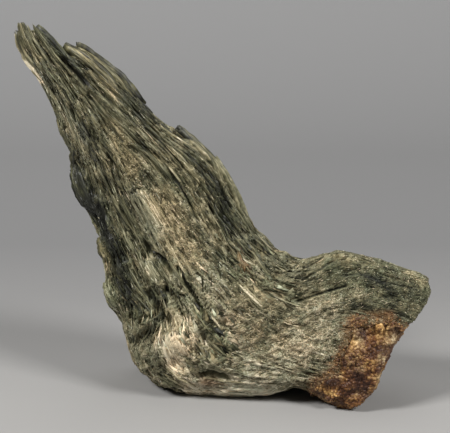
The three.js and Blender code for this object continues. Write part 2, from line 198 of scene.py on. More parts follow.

# Colour on the front by kind: strength, reach in pixels, line in pixels. Tone strokes marked below paint
# highlights, glints and shade; the sheen strokes paint sheen.
STROKES = {
    "tone": [
        # Painted highlight along the left edge near the tip, fading down the leg in the next stroke.
        (1.30, 4.0, [(28, 62), (34, 72), (42, 83)]),
        (0.55, 4.0, [(42, 83), (54, 100), (64, 118), (74, 136)]),
        (0.30, 8.0, [(27, 46), (38, 58)]),
        (-0.34, 9.0, [(44, 38), (62, 56), (80, 80), (96, 104)]),
        (0.45, 1.9, [(66, 52), (82, 66), (100, 82), (125, 108), (148, 133)]),
        (0.10, 9.0, [(84, 56), (100, 74), (118, 96)]),
        (-0.25, 5.0, [(100, 62), (128, 88), (160, 122)]),
        (0.12, 15.0, [(112, 126), (124, 146), (132, 168)]),
        (-0.16, 40.0, [(60, 100), (110, 170), (130, 190)]),
        (0.35, 1.8, [(128, 112), (148, 136), (164, 154), (178, 172)]),
        (-0.32, 7.0, [(148, 128), (164, 148), (180, 176), (186, 190)]),
        (-0.45, 8.0, [(166, 176), (178, 188)]),
        (-0.88, 12.0, [(190, 150), (212, 184), (224, 212), (232, 232)]),
        (0.45, 2.0, [(178, 138), (192, 152), (204, 168), (214, 188)]),
        (-0.30, 14.0, [(70, 150), (82, 170), (92, 190)]),
        (-0.20, 12.0, [(86, 130), (100, 160), (112, 188)]),
        # Painted highlight: the bright edge of the satin sheen band.
        (0.50, 7.0, [(141, 192), (150, 206), (159, 222), (164, 236)]),
        (0.50, 2.4, [(137, 219), (143, 228), (148, 236)]),
        (0.28, 24.0, [(164, 204), (176, 230), (192, 258)]),
        # Painted highlight.
        (0.45, 4.0, [(147, 266), (155, 281)]),
        (0.30, 12.0, [(143, 259), (156, 276), (163, 288)]),
        # Painted glints, the next two strokes: thin white lines.
        (1.00, 1.5, [(120, 276), (121, 280), (123, 284)]),
        (1.30, 1.8, [(193, 293), (199, 301)]),
        (-1.15, 16.0, [(88, 202), (100, 226), (112, 250), (122, 276), (134, 304)]),
        (-0.60, 6.0, [(100, 204), (112, 236)]),
        (0.45, 5.0, [(100, 243), (104, 255), (107, 270)]),
        (2.40, 14.0, [(167, 341), (184, 342), (173, 353), (178, 366)]),
        (0.35, 22.0, [(172, 318), (192, 346), (206, 366)]),
        (0.22, 24.0, [(134, 350), (150, 372)]),
        (0.16, 9.0, [(152, 290), (158, 306), (160, 318), (152, 330), (142, 336), (132, 342)]),
        # Painted shade along the heel fold.
        (-0.25, 6.0, [(197, 307), (209, 325), (218, 341), (225, 355)]),
        (0.34, 16.0, [(224, 326), (236, 346), (250, 362)]),
        # A pale rim, brightened further as painted light where the sole faces down and the lamps leave it
        # dark.
        (1.45, 16.0, [(188, 390), (206, 391), (228, 393), (268, 393)]),
        (-0.46, 26.0, [(24, 34), (50, 66)]),
        (-0.62, 13.0, [(76, 174), (82, 192), (90, 208)]),
        (-0.48, 24.0, [(84, 60), (120, 92), (150, 120)]),
        (-0.36, 28.0, [(262, 262), (300, 276)]),
        (-0.20, 40.0, [(320, 276), (400, 286)]),
        (0.54, 34.0, [(240, 378), (284, 372), (306, 350)]),
        (0.22, 26.0, [(150, 205), (166, 240)]),
        (0.22, 22.0, [(196, 270), (216, 300)]),
        # Painted highlights, the next two strokes: pale streaks on the blades.
        (0.75, 4.0, [(243, 288), (252, 297), (261, 306)]),
        (0.55, 3.2, [(253, 257), (258, 268)]),
        (0.70, 3.0, [(211, 257), (213, 264)]),
        (0.22, 44.0, [(230, 330), (270, 350), (322, 330)]),
        (-0.16, 28.0, [(330, 272), (372, 282), (412, 296)]),
        (-0.55, 8.0, [(352, 306), (366, 304), (376, 310)]),
        (-0.45, 9.0, [(366, 276), (384, 282), (392, 290)]),
        (0.40, 7.0, [(352, 284), (366, 290), (382, 300)]),
        (0.34, 8.0, [(408, 270), (422, 282)]),
        (-0.45, 9.0, [(388, 310), (406, 318)]),
        (0.22, 5.0, [(322, 262), (342, 258), (362, 266)]),
    ],
    "tan": [
        (0.7, 9.0, [(27, 46), (38, 58)]),
        (0.8, 10.0, [(84, 56), (100, 74), (118, 96)]),
        (0.9, 16.0, [(112, 126), (124, 146), (132, 168)]),
        (0.9, 24.0, [(164, 204), (176, 230), (192, 258)]),
        (1.0, 5.0, [(100, 243), (104, 255), (107, 270)]),
        (0.6, 16.0, [(168, 342), (186, 344), (176, 356), (182, 366)]),
        (0.5, 22.0, [(172, 318), (192, 346)]),
        (0.45, 44.0, [(230, 330), (300, 350)]),
        (0.8, 8.0, [(336, 262), (352, 268)]),
        (0.7, 8.0, [(408, 270), (422, 282)]),
    ],
    "green": [
        (0.8, 10.0, [(40, 34), (60, 52), (76, 66)]),
        (0.9, 12.0, [(164, 174), (180, 190)]),
        (0.7, 12.0, [(196, 158), (212, 184), (224, 212), (232, 232)]),
        (0.8, 18.0, [(88, 202), (100, 226), (112, 250), (122, 276), (140, 312)]),
        (0.9, 9.0, [(108, 288), (114, 304)]),
        (0.9, 9.0, [(197, 307), (209, 325), (218, 341), (225, 355)]),
        (0.7, 13.0, [(76, 174), (82, 192), (90, 208)]),
        (0.5, 30.0, [(330, 272), (372, 282), (412, 296)]),
        (0.6, 18.0, [(232, 270), (256, 286), (290, 292)]),
    ],
    # Painted sheen: a grey streak near the tip and a satin band; the same share also lowers the roughness.
    "sheen": [
        (0.9, 7.0, [(42, 72), (54, 92), (68, 116), (86, 142)]),
        (1.0, 12.0, [(133, 195), (144, 212), (156, 234)]),
    ],
    "rust": [
        (0.9, 7.0, [(203, 383), (214, 384)]),
        (0.6, 5.0, [(244, 263), (249, 266)]),
        (0.5, 7.0, [(312, 380), (332, 370), (340, 350), (350, 322), (362, 314), (392, 312)]),
    ],
}

# Colour on the andradite, the same way: light to dark tone, and orange to brown.
GARNET_STROKES = {
    "tone": [
        (0.30, 12.0, [(352, 318), (376, 322)]),
        (0.35, 10.0, [(378, 322), (390, 340)]),
        (-0.35, 9.0, [(364, 336), (376, 352)]),
        (0.20, 10.0, [(356, 342), (368, 362)]),
        (0.14, 10.0, [(360, 326), (358, 344)]),
        (-0.60, 10.0, [(354, 370), (368, 386)]),
        (-0.60, 9.0, [(328, 380), (350, 390)]),
        (-0.30, 6.0, [(388, 350), (378, 372)]),
    ],
    "orange": [
        (0.8, 12.0, [(350, 318), (378, 324)]),
        (0.8, 8.0, [(390, 318), (402, 326)]),
        (-0.5, 10.0, [(364, 326), (362, 344)]),
        (1.0, 9.0, [(322, 386), (350, 404)]),
        (0.5, 9.0, [(370, 360), (372, 392)]),
    ],
}

# Splinters that stand out past the mass, as lines in pixels, with the width and thickness in millimetres.
SPLINTERS = [
    (1.5, 1.2, [(21.5, 20), (25, 29), (32, 43), (42, 60), (52, 76)]),
    (1.6, 1.3, [(17, 32), (19.5, 41), (25, 52), (34, 68), (44, 84)]),
    (1.2, 1.0, [(28, 27), (34, 39), (46, 58), (60, 80)]),
    (1.2, 1.1, [(33.5, 26), (42, 37), (54, 53), (70, 73)]),
    (1.3, 1.0, [(38.5, 26.5), (48, 35), (62, 51), (80, 71)]),
    (1.5, 1.2, [(20, 24), (23, 34), (29, 47), (38, 64)]),
    (2.6, 1.8, [(66, 46.5), (84, 58), (106, 76), (128, 98)]),
    (2.4, 1.6, [(78, 46), (100, 62), (122, 80), (146, 104)]),
    (1.6, 0.8, [(178, 127), (196, 142), (212, 158), (224, 178), (234, 200)]),
    (1.5, 0.9, [(190, 139), (206, 152), (219, 168), (230, 190)]),
    (1.8, 1.4, [(214, 158), (226, 178), (240, 204), (252, 226)]),
    (1.8, 1.4, [(74, 150), (75, 168), (80, 190), (88, 208)]),
    (1.5, 1.2, [(60, 126), (66, 138), (74, 152), (80, 170)]),
    (1.6, 1.3, [(142, 146), (154, 158), (170, 178), (182, 198)]),
    (0.9, 0.9, [(130, 194), (138, 210), (146, 226), (151, 238)]),
    (1.1, 0.7, [(134, 193), (142, 208), (151, 224), (158, 240)]),
    (1.5, 0.5, [(138, 191), (147, 206), (157, 223), (165, 241)]),
    (1.2, 0.7, [(144, 191), (153, 206), (163, 223), (171, 241)]),
    (0.9, 0.8, [(150, 193), (159, 208), (168, 224), (175, 238)]),
    (1.6, 0.9, [(112, 196), (122, 214), (134, 236), (140, 246)]),
    (1.2, 0.8, [(118, 194), (128, 212), (138, 232), (143, 241)]),
    (1.0, 0.8, [(143, 259), (149, 269), (156, 282), (160, 291)]),
    (1.3, 0.6, [(147, 259), (153, 269), (160, 281), (165, 291)]),
    (1.0, 0.8, [(153, 261), (159, 271), (166, 283), (170, 291)]),
    (1.0, 0.7, [(159, 264), (165, 274), (172, 286), (177, 294)]),
    (1.2, 1.0, [(170, 262), (180, 278), (190, 294), (198, 308)]),
    (1.3, 1.1, [(238, 284), (250, 296), (262, 308), (276, 318)]),
    (1.2, 0.9, [(253, 252), (260, 264), (270, 276), (282, 286)]),
    (2.4, 0.5, [(163, 340), (167, 350), (172, 360), (178, 368)]),
    (2.4, 0.5, [(169, 339), (174, 349), (180, 359), (187, 368)]),
    (2.2, 0.5, [(176, 339), (181, 348), (187, 357), (194, 365)]),
    (1.0, 0.8, [(244, 287), (252, 295), (260, 303), (267, 309)]),
    (0.9, 0.8, [(248, 286), (256, 294), (264, 301)]),
    (2.4, 1.5, [(74, 172), (77, 185), (83, 200), (91, 214)]),
    (2.0, 1.3, [(79, 170), (84, 186), (91, 202), (99, 218)]),
    (1.8, 1.2, [(100, 238), (102, 250), (105, 262)]),
    (1.8, 1.2, [(106, 283), (110, 296), (117, 308)]),
]

# Where few loose blades lie: the line and its reach, in pixels.
SADDLE = [(240, 272), (272, 270), (300, 276)]
SADDLE_REACH = 40

# Where short matted fibres hide the blades on the front: strength, reach in pixels, line in pixels.
FELTED = [
    (0.8, 44, [(150, 190), (178, 232), (205, 275), (262, 318), (318, 340)]),
    (0.8, 44, [(240, 352), (330, 345)]),
    (0.7, 18, [(118, 132), (136, 168)]),
    (1.2, 56, [(330, 290), (415, 292)]),
    (0.6, 24, [(140, 345), (160, 370), (200, 385), (300, 385)]),
]

# The fine mesh: rows along the fibres, columns round them, and the shares of its depth that it starts and
# ends with.
TIP_ROWS, BODY_ROWS, END_ROWS = 5, 300, 22
HALF_COLUMNS = 146
COLUMNS = 2 * HALF_COLUMNS
TIP_SHARE, END_SHARE = 0.06, 0.03

# How far one step along a fibre goes, in millimetres.
STEP = 0.7

# Grown blades, coarse to fine: seed, how many, how many times as long as wide, step and tilt and groove in
# millimetres, and how much they change the tone: at random for each blade, and darker in the gaps between
# blades as painted shade.
PLANKS = [
    (31, 260, 11.0, 0.95, 1.3, 1.0, 0.16),
    (41, 1300, 11.0, 0.50, 0.9, 0.8, 0.24),
    (51, 7000, 9.0, 0.16, 0.25, 0.25, 0.16),
]

# How wide the groove between two blades is, in widths of a blade.
CLEFT_SHARE = 0.16

# Fine ridges along the fibres: length each way and height in millimetres, and how much they change the tone.
RIDGES = [(8.0, 0.10, 0.12), (1.6, 0.12, 0.06)]

# Cracks narrower than this many pixels each way stay clear of loose fibres and blades, except for their
# faintest part.
FOLD = 4.0
CRACK_CLEAR = 0.3

# How far above the mass a fibre may pass at its middle, and how far its sides sink in, in millimetres.
BRIDGE = 0.4
NEEDLE_SINK = 0.15

# How far strokes of colour fray, in pixels, and how much the fibres' hue varies.
STROKE_FRAY = 1.5
HUE_SPREAD = 0.45

# Each splinter is split into this many thin blades.
SPLIT = 3

# The andradite's grains and the mesh that they are made from, and how far the actinolite's mass sinks under
# them, in millimetres.
GRAIN_SPACING = 1.15
GRAIN_VOXEL = 0.29
GARNET_SINK = 4.0

BOX_LOW, BOX_HIGH = np.array(cad_box) / MM


def ramp(points, at):
    xs, ys = zip(*points)
    return np.interp(at, xs, ys)


def smooth_step(low, high, value):
    share = np.clip((value - low) / (high - low), 0, 1)
    return share * share * (3 - 2 * share)


def size_of(vectors):
    return np.linalg.norm(vectors, axis=-1)


def between(ends, share):
    return ends[0] + (ends[1] - ends[0]) * share


def unit(vectors):
    return vectors / np.maximum(np.linalg.norm(vectors, axis=-1, keepdims=True), 1e-9)


def sight(px, py, depth):
    """The real points seen at pixels, at depths behind the setback plane."""
    ray = FORWARD + ((px - PICTURE_CENTRE[0]) / FOCAL_PX)[..., None] * np.array([1.0, 0, 0])
    ray = ray + ((PICTURE_CENTRE[1] - py) / FOCAL_PX)[..., None] * UP
    points = EYE + ray * ((depth - EYE[1]) / ray[..., 1])[..., None]
    points[..., 1] -= REST_SETBACK
    return points


def seen_at(points):
    """The pixels where real points are seen."""
    ray = points + np.array([0, REST_SETBACK, 0]) - EYE
    ahead = ray @ FORWARD
    across = PICTURE_CENTRE[0] + FOCAL_PX * ray[..., 0] / ahead
    return np.stack([across, PICTURE_CENTRE[1] - FOCAL_PX * (ray @ UP) / ahead], -1)


def in_box(points, margin=0.01):
    """The points, kept within the solids' box."""
    return np.clip(points, BOX_LOW + margin, BOX_HIGH - margin)


def along_table(table, share):
    at = np.clip(share, 0, 1) * (len(table) - 1)
    i = np.minimum(at.astype(int), len(table) - 2)
    part = (at - i)[..., None]
    return table[i] * (1 - part) + table[i + 1] * part


def fibre_pixel(station, across):
    cut = along_table(STATIONS, station / LAST)
    crowded = (across ** ramp(HEEL_CROWDING, station))[..., None]
    share = smooth_step(END_BULGE_FROM, LAST, station)[..., None]
    last = STATIONS[LAST]
    chord = last[:2] * (1 - across[..., None]) + last[2:] * across[..., None]
    bulge = along_table(END_EDGE, across) - chord
    return cut[..., :2] * (1 - crowded) + cut[..., 2:] * crowded + share * bulge


def body_surface(station, turn, depth_share):
    """The smooth body, the pixels where it is seen, and its depths.

    Turn goes from 0 to 1 over the front and from 1 to 2 over the back.
    """
    front = turn <= 1
    cosine = np.cos(np.pi * turn)
    power = np.where(front, FRONT_SQUARE[0], BACK_SQUARE[0])
    across = 0.5 - 0.5 * np.sign(cosine) * np.abs(cosine) ** power
    power = np.where(front, FRONT_SQUARE[1], BACK_SQUARE[1])
    bulge = np.abs(np.sin(np.pi * turn)) ** power * depth_share
    edge = ramp(SOLE_EDGE_Y, station) * (1 - across) + ramp(TOP_EDGE_Y, station) * across
    near_side = edge - bulge * ramp(FRONT_DEPTH, station)
    depth = np.where(front, near_side, edge + bulge * ramp(BACK_DEPTH, station))
    pixel = fibre_pixel(station, across)
    return sight(pixel[..., 0], pixel[..., 1], depth), pixel, depth


# Repeatable scatter and drift
def scatter(seed, *keys):
    """A number from 0 to 1 for each set of whole-number keys."""
    shape = np.broadcast(*keys).shape
    h = np.full(shape, (seed * 747796405 + 2891336453) & 0xFFFFFFFF, np.uint64)
    for key in keys:
        h = (h ^ (np.asarray(key).astype(np.int64) & 0xFFFFFFFF).astype(np.uint64)) * np.uint64(2654435761)
        h &= np.uint64(0xFFFFFFFF)
        h ^= h >> np.uint64(15)
        h = (h * np.uint64(2246822519)) & np.uint64(0xFFFFFFFF)
        h ^= h >> np.uint64(13)
    return h / 2.0**32


def drift(seed, points, step):
    """Smooth noise from -1 to 1 through space, which changes over a step in millimetres."""
    at = points / step
    low = np.floor(at)
    share = at - low
    share = share * share * (3 - 2 * share)
    total = 0
    for corner in np.ndindex(2, 2, 2):
        weight = np.prod(np.where(corner, share, 1 - share), axis=-1)
        total = total + weight * scatter(seed, *(low[..., k] + corner[k] for k in range(3)))
    return 2 * total - 1


def near(pixel, points, reach):
    """How near pixels are to a line through points: 1 on it, 0 at the reach and beyond."""
    points = np.asarray(points, float)
    best = np.full(pixel.shape[:-1], 1e9)
    for a, b in zip(points[:-1], points[1:]):
        step = b - a
        share = np.clip(((pixel - a) @ step) / (step @ step), 0, 1)
        best = np.minimum(best, size_of(pixel - a - share[..., None] * step))
    return smooth_step(0, 1, 1 - best / reach)


def fibre_way(pixel):
    """The direction of the fibres in the picture: nearer guides count for more."""
    total = np.zeros(pixel.shape)
    for line in GUIDES:
        line = np.asarray(line, float)
        for a, b in zip(line[:-1], line[1:]):
            step = b - a
            length = np.linalg.norm(step)
            share = np.clip(((pixel - a) @ step) / length**2, 0, 1)
            away = size_of(pixel - a - share[..., None] * step)
            total += (length / (away + 3.0) ** 3)[..., None] * step / length
    return unit(total)


def inside_andradite(pixel, depth):
    """How far inside the andradite's edge points lie, in pixels: below 0 is outside."""
    share = ((depth - ANDRADITE_DEPTHS[0]) / (ANDRADITE_DEPTHS[1] - ANDRADITE_DEPTHS[0]))[..., None]
    best = np.full(depth.shape, 1e9)
    inside = np.zeros(depth.shape, bool)
    for i in range(len(ANDRADITE_FRONT)):
        a = ANDRADITE_FRONT[i - 1] * (1 - share) + ANDRADITE_BACK[i - 1] * share
        b = ANDRADITE_FRONT[i] * (1 - share) + ANDRADITE_BACK[i] * share
        step = b - a
        part = np.clip(((pixel - a) * step).sum(-1) / (step * step).sum(-1), 0, 1)
        best = np.minimum(best, size_of(pixel - a - part[..., None] * step))
        crosses = (a[..., 1] > pixel[..., 1]) != (b[..., 1] > pixel[..., 1])
        rise = np.where(np.abs(step[..., 1]) < 1e-9, 1e-9, step[..., 1])
        at = a[..., 0] + (pixel[..., 1] - a[..., 1]) / rise * step[..., 0]
        inside ^= crosses & (pixel[..., 0] < at)
    return np.where(inside, best, -best)


class Body:
    """The fine surface as a grid of points, with what the later layers need to lie on it."""

    def __init__(self):
        ease = np.linspace(0, 1, TIP_ROWS, endpoint=False)
        tip = np.stack([np.zeros(TIP_ROWS), TIP_SHARE + (1 - TIP_SHARE) * ease], 1)
        run = np.stack([np.linspace(0, LAST, BODY_ROWS), np.ones(BODY_ROWS)], 1)
        ease = np.linspace(1, 0, END_ROWS + 1)[1:]
        end = np.stack([np.full(END_ROWS, float(LAST)), END_SHARE + (1 - END_SHARE) * ease], 1)
        rows = np.concatenate([tip, run, end])
        self.rows = len(rows)
        self.station = np.repeat(rows[:, :1], COLUMNS, 1)
        self.share = np.repeat(rows[:, 1:], COLUMNS, 1)
        self.turn = np.tile(np.arange(COLUMNS) / HALF_COLUMNS, (self.rows, 1))
        self.smooth, self.pixel, depth = body_surface(self.station, self.turn, self.share)
        self.on_front = self.turn <= 1
        self.garnet = inside_andradite(self.pixel, depth)
        self.per_row = np.gradient(self.smooth, axis=0)
        self.per_column = self.round_(self.smooth)
        self.normal = self.normals(self.smooth)
        self.area = size_of(np.cross(self.per_row, self.per_column))
        self.steer()
        self.felt = self.felted()
        self.carve()
        self.points = in_box(self.smooth + self.normal * self.height[..., None])

    @staticmethod
    def round_(grid):
        return 0.5 * (np.roll(grid, -1, 1) - np.roll(grid, 1, 1))

    def normals(self, points):
        normal = np.cross(np.gradient(points, axis=0), self.round_(points))
        for _ in range(2):
            normal = normal + np.roll(normal, 1, 1) + np.roll(normal, -1, 1)
            padded = np.concatenate([normal[:1], normal, normal[-1:]])
            normal = padded[:-2] + normal + padded[2:]
        return unit(normal)

    def steer(self):
        """Works out the fibres' direction everywhere: as grid steps a millimetre, and in space."""
        across = self.round_(self.pixel)
        down = np.gradient(self.pixel, axis=0)
        way = fibre_way(self.pixel)
        area = down[..., 0] * across[..., 1] - down[..., 1] * across[..., 0]
        area = np.where(np.abs(area) < 1e-4, 1e-4, area)
        row = (way[..., 0] * across[..., 1] - way[..., 1] * across[..., 0]) / area
        column = (down[..., 0] * way[..., 1] - down[..., 1] * way[..., 0]) / area
        slant = np.clip(column / np.maximum(row, 1e-3), -3, 3)
        facing = smooth_step(0.1, 0.45, np.sin(np.pi * self.turn)) * (row > 0)
        waver = 0.35 * drift(5, self.smooth, 18) * size_of(self.per_row)
        waver = waver / np.maximum(size_of(self.per_column), 0.1)
        slant = facing * slant + (1 - facing) * np.clip(waver, -1, 1)
        move = self.per_row + slant[..., None] * self.per_column
        length = np.maximum(size_of(move), 0.08)
        self.row_step = 1 / length
        self.column_step = slant / length
        self.fibre = unit(move)
        self.across = unit(np.cross(self.normal, self.fibre))

    def cells(self, row, column):
        r = np.clip(np.round(row).astype(int), 0, self.rows - 1)
        return r, np.round(column).astype(int) % COLUMNS

    def walk(self, row, column, distance):
        """Follows the fibres from grid places for a distance in millimetres, one for each place."""
        count = max(1, int(np.ceil(np.max(np.abs(distance)) / STEP)))
        for _ in range(count):
            r, c = self.cells(row, column)
            row = np.clip(row + self.row_step[r, c] * distance / count, 0, self.rows - 1.001)
            column = column + self.column_step[r, c] * distance / count
        return row, column

    def at(self, grid, row, column):
        """A grid's values between its rows and columns."""
        row = np.clip(row, 0, self.rows - 1.001)
        r, c = np.floor(row).astype(int), np.floor(column).astype(int)
        fr, fc = (row - r)[..., None], (column - c)[..., None]
        c, c2 = c % COLUMNS, (c + 1) % COLUMNS
        low = grid[r, c] * (1 - fc) + grid[r, c2] * fc
        return low * (1 - fr) + (grid[r + 1, c] * (1 - fc) + grid[r + 1, c2] * fc) * fr

    def pick(self, rng, count, weight=1.0):
        """Random places, spread evenly over the area times the weight."""
        chance = np.cumsum((self.area * weight).ravel())
        cell = np.searchsorted(chance, rng.random(count) * chance[-1])
        return cell // COLUMNS + rng.random(count) - 0.5, cell % COLUMNS + rng.random(count) - 0.5

    def nearest(self, pixels):
        """The grid places on the front that are seen nearest to pixels."""
        front = self.pixel[TIP_ROWS:, : HALF_COLUMNS + 1]
        flat = front.reshape(-1, 2)
        found = np.array([np.argmin(((flat - pixel) ** 2).sum(-1)) for pixel in pixels])
        return TIP_ROWS + found // (HALF_COLUMNS + 1), found % (HALF_COLUMNS + 1)

    def felted(self):
        """Where short matted fibres hide the blades: 0 to 1."""
        felt = sum(strength * near(self.pixel, line, reach) for strength, reach, line in FELTED)
        foot = np.clip((self.station - FOOT_FROM) / 8, 0, 1)
        elsewhere = 0.35 + 0.5 * drift(21, self.smooth, 22) + 0.3 * foot
        return np.clip(np.where(self.on_front, np.maximum(felt, 0.7 * foot), elsewhere), 0, 1)

    def combed(self, values, reach):
        """Values averaged along the fibres, then scaled to vary by about 1 either way."""
        total = values.copy()
        for way in (STEP, -STEP):
            row, column = np.indices(values.shape).astype(float)
            for _ in range(int(reach / STEP)):
                row, column = self.walk(row, column, way)
                total += values[self.cells(row, column)]
        total -= total.mean()
        return total / (2 * total.std())

    def planks(self, seed, count, stretch):
        """The grown blades: each grid point's place across its blade, the gap to the next, and its blade."""
        rng = np.random.default_rng(seed)
        row, column = self.pick(rng, count)
        centre = self.smooth[self.cells(row, column)]
        own_stretch = stretch * rng.uniform(0.6, 1.5, count)
        width = math.sqrt(self.area.sum() / (count * stretch))
        block = 16
        offset, gap = np.zeros(self.turn.shape), np.zeros(self.turn.shape)
        owner = np.zeros(self.turn.shape, int)
        for r in range(0, self.rows, block):
            for c in range(0, COLUMNS, block):
                part = np.s_[r : r + block, c : c + block]
                points = self.smooth[part].reshape(-1, 3)
                middle = points.mean(0)
                size = size_of(points - middle).max()
                away = size_of(centre - middle)
                close = np.flatnonzero(away <= max(size + 1.6 * stretch * width, np.sort(away)[3]))
                delta = centre[close] - points[:, None]
                along = np.einsum("pqk,pk->pq", delta, self.fibre[part].reshape(-1, 3)) / own_stretch[close]
                side = np.einsum("pqk,pk->pq", delta, self.across[part].reshape(-1, 3))
                off = np.einsum("pqk,pk->pq", delta, self.normal[part].reshape(-1, 3))
                distance = np.sqrt(along**2 + side**2 + 0.3 * off**2)
                order = np.argpartition(distance, 1, axis=1)[:, :2]
                two = np.take_along_axis(distance, order, 1)
                lines = np.arange(len(points))
                best = order[lines, np.argmin(two, 1)]
                shape = self.turn[part].shape
                offset[part] = (-side[lines, best] / width).reshape(shape)
                gap[part] = ((two.max(1) - two.min(1)) / width).reshape(shape)
                owner[part] = close[best].reshape(shape)
        return offset, gap, owner

    def carve(self):
        """Heights of the blades, cracks, swellings and fibres, and the tone that they give, with painted
        shade in the cracks and in the gaps between blades.
        """
        bladed = 1 - 0.82 * self.felt
        rim = 0.55 + 0.45 * np.abs(np.sin(np.pi * self.turn))
        height = drift(63, self.smooth, 15) * rim
        tone = np.zeros(height.shape)
        for seed, count, stretch, level, tilt, groove, shade in PLANKS:
            offset, gap, owner = self.planks(seed, count, stretch)
            steps = 2 * scatter(seed + 1, owner) - 1
            tilts = 2 * scatter(seed + 2, owner) - 1
            cleft = np.exp(-((gap / CLEFT_SHARE) ** 2))
            height += (level * steps + tilt * tilts * offset - groove * cleft) * bladed * rim
            # Painted shade: the gaps between blades are darker as well as lower.
            tone += shade * (2 * scatter(seed + 3, owner) - 1 - 1.3 * cleft) * (1 - 0.65 * self.felt)
        rng = np.random.default_rng(8)
        for reach, size, shade in RIDGES:
            comb = self.combed(rng.normal(0, 1, height.shape), reach)
            height += size * comb
            tone += shade * comb
        mat = drift(61, self.smooth, 2.3) + 0.8 * drift(62, self.smooth, 1.2)
        height += 0.58 * self.felt * mat
        tone += 0.24 * self.felt * mat
        self.crack = np.zeros(height.shape)
        for size, reach, line in SWELLS:
            height += size * near(self.pixel, line, reach) * self.on_front
        for half_width, depth, line in CRACKS:
            mark = near(self.pixel, line, half_width) * self.on_front
            height -= depth * mark
            # Painted shade: darker in the cracks, by their depth.
            tone -= 0.7 * min(depth, 2) * mark
            if half_width < FOLD:
                self.crack = np.maximum(self.crack, mark * min(1, depth / 1.5))
        calm = np.minimum(1, 0.35 + self.station / 4) * (0.3 + 0.7 * self.share)
        calm = calm * (1 - 0.8 * np.exp(-((self.garnet / 5) ** 2)))
        self.height = height * calm - GARNET_SINK * smooth_step(2.5, 7.0, self.garnet + 2.5 * mat)
        self.blade_tone_and_painted_shade = tone - tone.mean()


def add_strokes(cover, table, pixel, where):
    for kind, strokes in table.items():
        for strength, reach, line in strokes:
            cover[kind] = cover[kind] + strength * near(pixel, line, reach) * where


def painted(body):
    """For each grid point, its tone from about -1, dark, to 1, pale, and its shares of the other kinds."""
    wander = [drift(seed, body.smooth, 24) for seed in (71, 72, 73)]
    mottle = drift(75, body.smooth, 6)
    speck = drift(76, body.smooth, 2.6)
    elsewhere = np.where(body.on_front, 0.4, 1)
    cover = {
        "tone": body.blade_tone_and_painted_shade + 0.18 * wander[0] + 0.14 * mottle + 0.10 * speck,
        "tan": 0.3 + (0.5 * wander[1] + 0.3 * mottle) * elsewhere + 0.4 * speck,
        "green": 0.1 - (0.6 * wander[1] + 0.4 * mottle) * elsewhere - 0.4 * speck,
        "sheen": np.clip(0.10 + 0.4 * wander[2], 0, 1) * (1 - body.felt),
        "rust": np.clip(wander[2] - 0.55, 0, 1) * np.where(body.on_front, 0, 1),
    }
    cover["rust"] = cover["rust"] + 0.6 * smooth_step(-9, 0, body.garnet + 5 * mottle)
    fray = body.pixel + STROKE_FRAY * np.stack([mottle, wander[0]], -1)
    add_strokes(cover, STROKES, fray, body.on_front)
    for kind in ("tan", "green", "sheen", "rust"):
        cover[kind] = np.clip(cover[kind], 0, 1)
    cover["felt"] = body.felt
    return cover


# Meshes
def linked(name, data):
    """A new object in the scene."""
    made = bpy.data.objects.new(name, data)
    bpy.context.scene.collection.objects.link(made)
    return made


def mesh_object(name, points, *face_sets):
    """A mesh object from points in millimetres and sets of faces, each with one number of corners."""
    mesh = bpy.data.meshes.new(name)
    corners = np.concatenate([faces.ravel() for faces in face_sets])
    sizes = np.concatenate([np.full(len(faces), faces.shape[1]) for faces in face_sets])
    starts = np.concatenate([[0], np.cumsum(sizes)[:-1]])
    mesh.vertices.add(len(points))
    mesh.vertices.foreach_set("co", (points * MM).astype(np.float32).ravel())
    mesh.loops.add(len(corners))
    mesh.loops.foreach_set("vertex_index", corners.astype(np.int32))
    mesh.polygons.add(len(sizes))
    mesh.polygons.foreach_set("loop_start", starts.astype(np.int32))
    mesh.update(calc_edges=True)
    return linked(name, mesh)


def add_numbers(made, name, values):
    layer = made.data.attributes.new(name, "FLOAT", "POINT")
    layer.data.foreach_set("value", values.astype(np.float32).ravel())


def add_vectors(made, name, values):
    layer = made.data.attributes.new(name, "FLOAT_VECTOR", "POINT")
    layer.data.foreach_set("vector", values.astype(np.float32).ravel())


def add_map(made, corners):
    """The map that the colours are kept in: for each face corner in turn, a place from 0 to 1 each way."""
    layer = made.data.uv_layers.new(name="OFBake")
    layer.data.foreach_set("uv", corners.astype(np.float32).ravel())


def dress(made, values, material):
    """Gives a mesh the attributes that the actinolite material reads, and the material."""
    for kind in ("tone", "tan", "green", "sheen", "rust", "felt"):
        add_numbers(made, kind, values[kind])
    add_vectors(made, "flow", values["flow"])
    made.data.materials.append(material)
    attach(made, "root")
    return made


# Pieces
# The flow attribute starts at a random place on each fibre and blade, up to this many millimetres each way.
FLOW_RANGE = 400


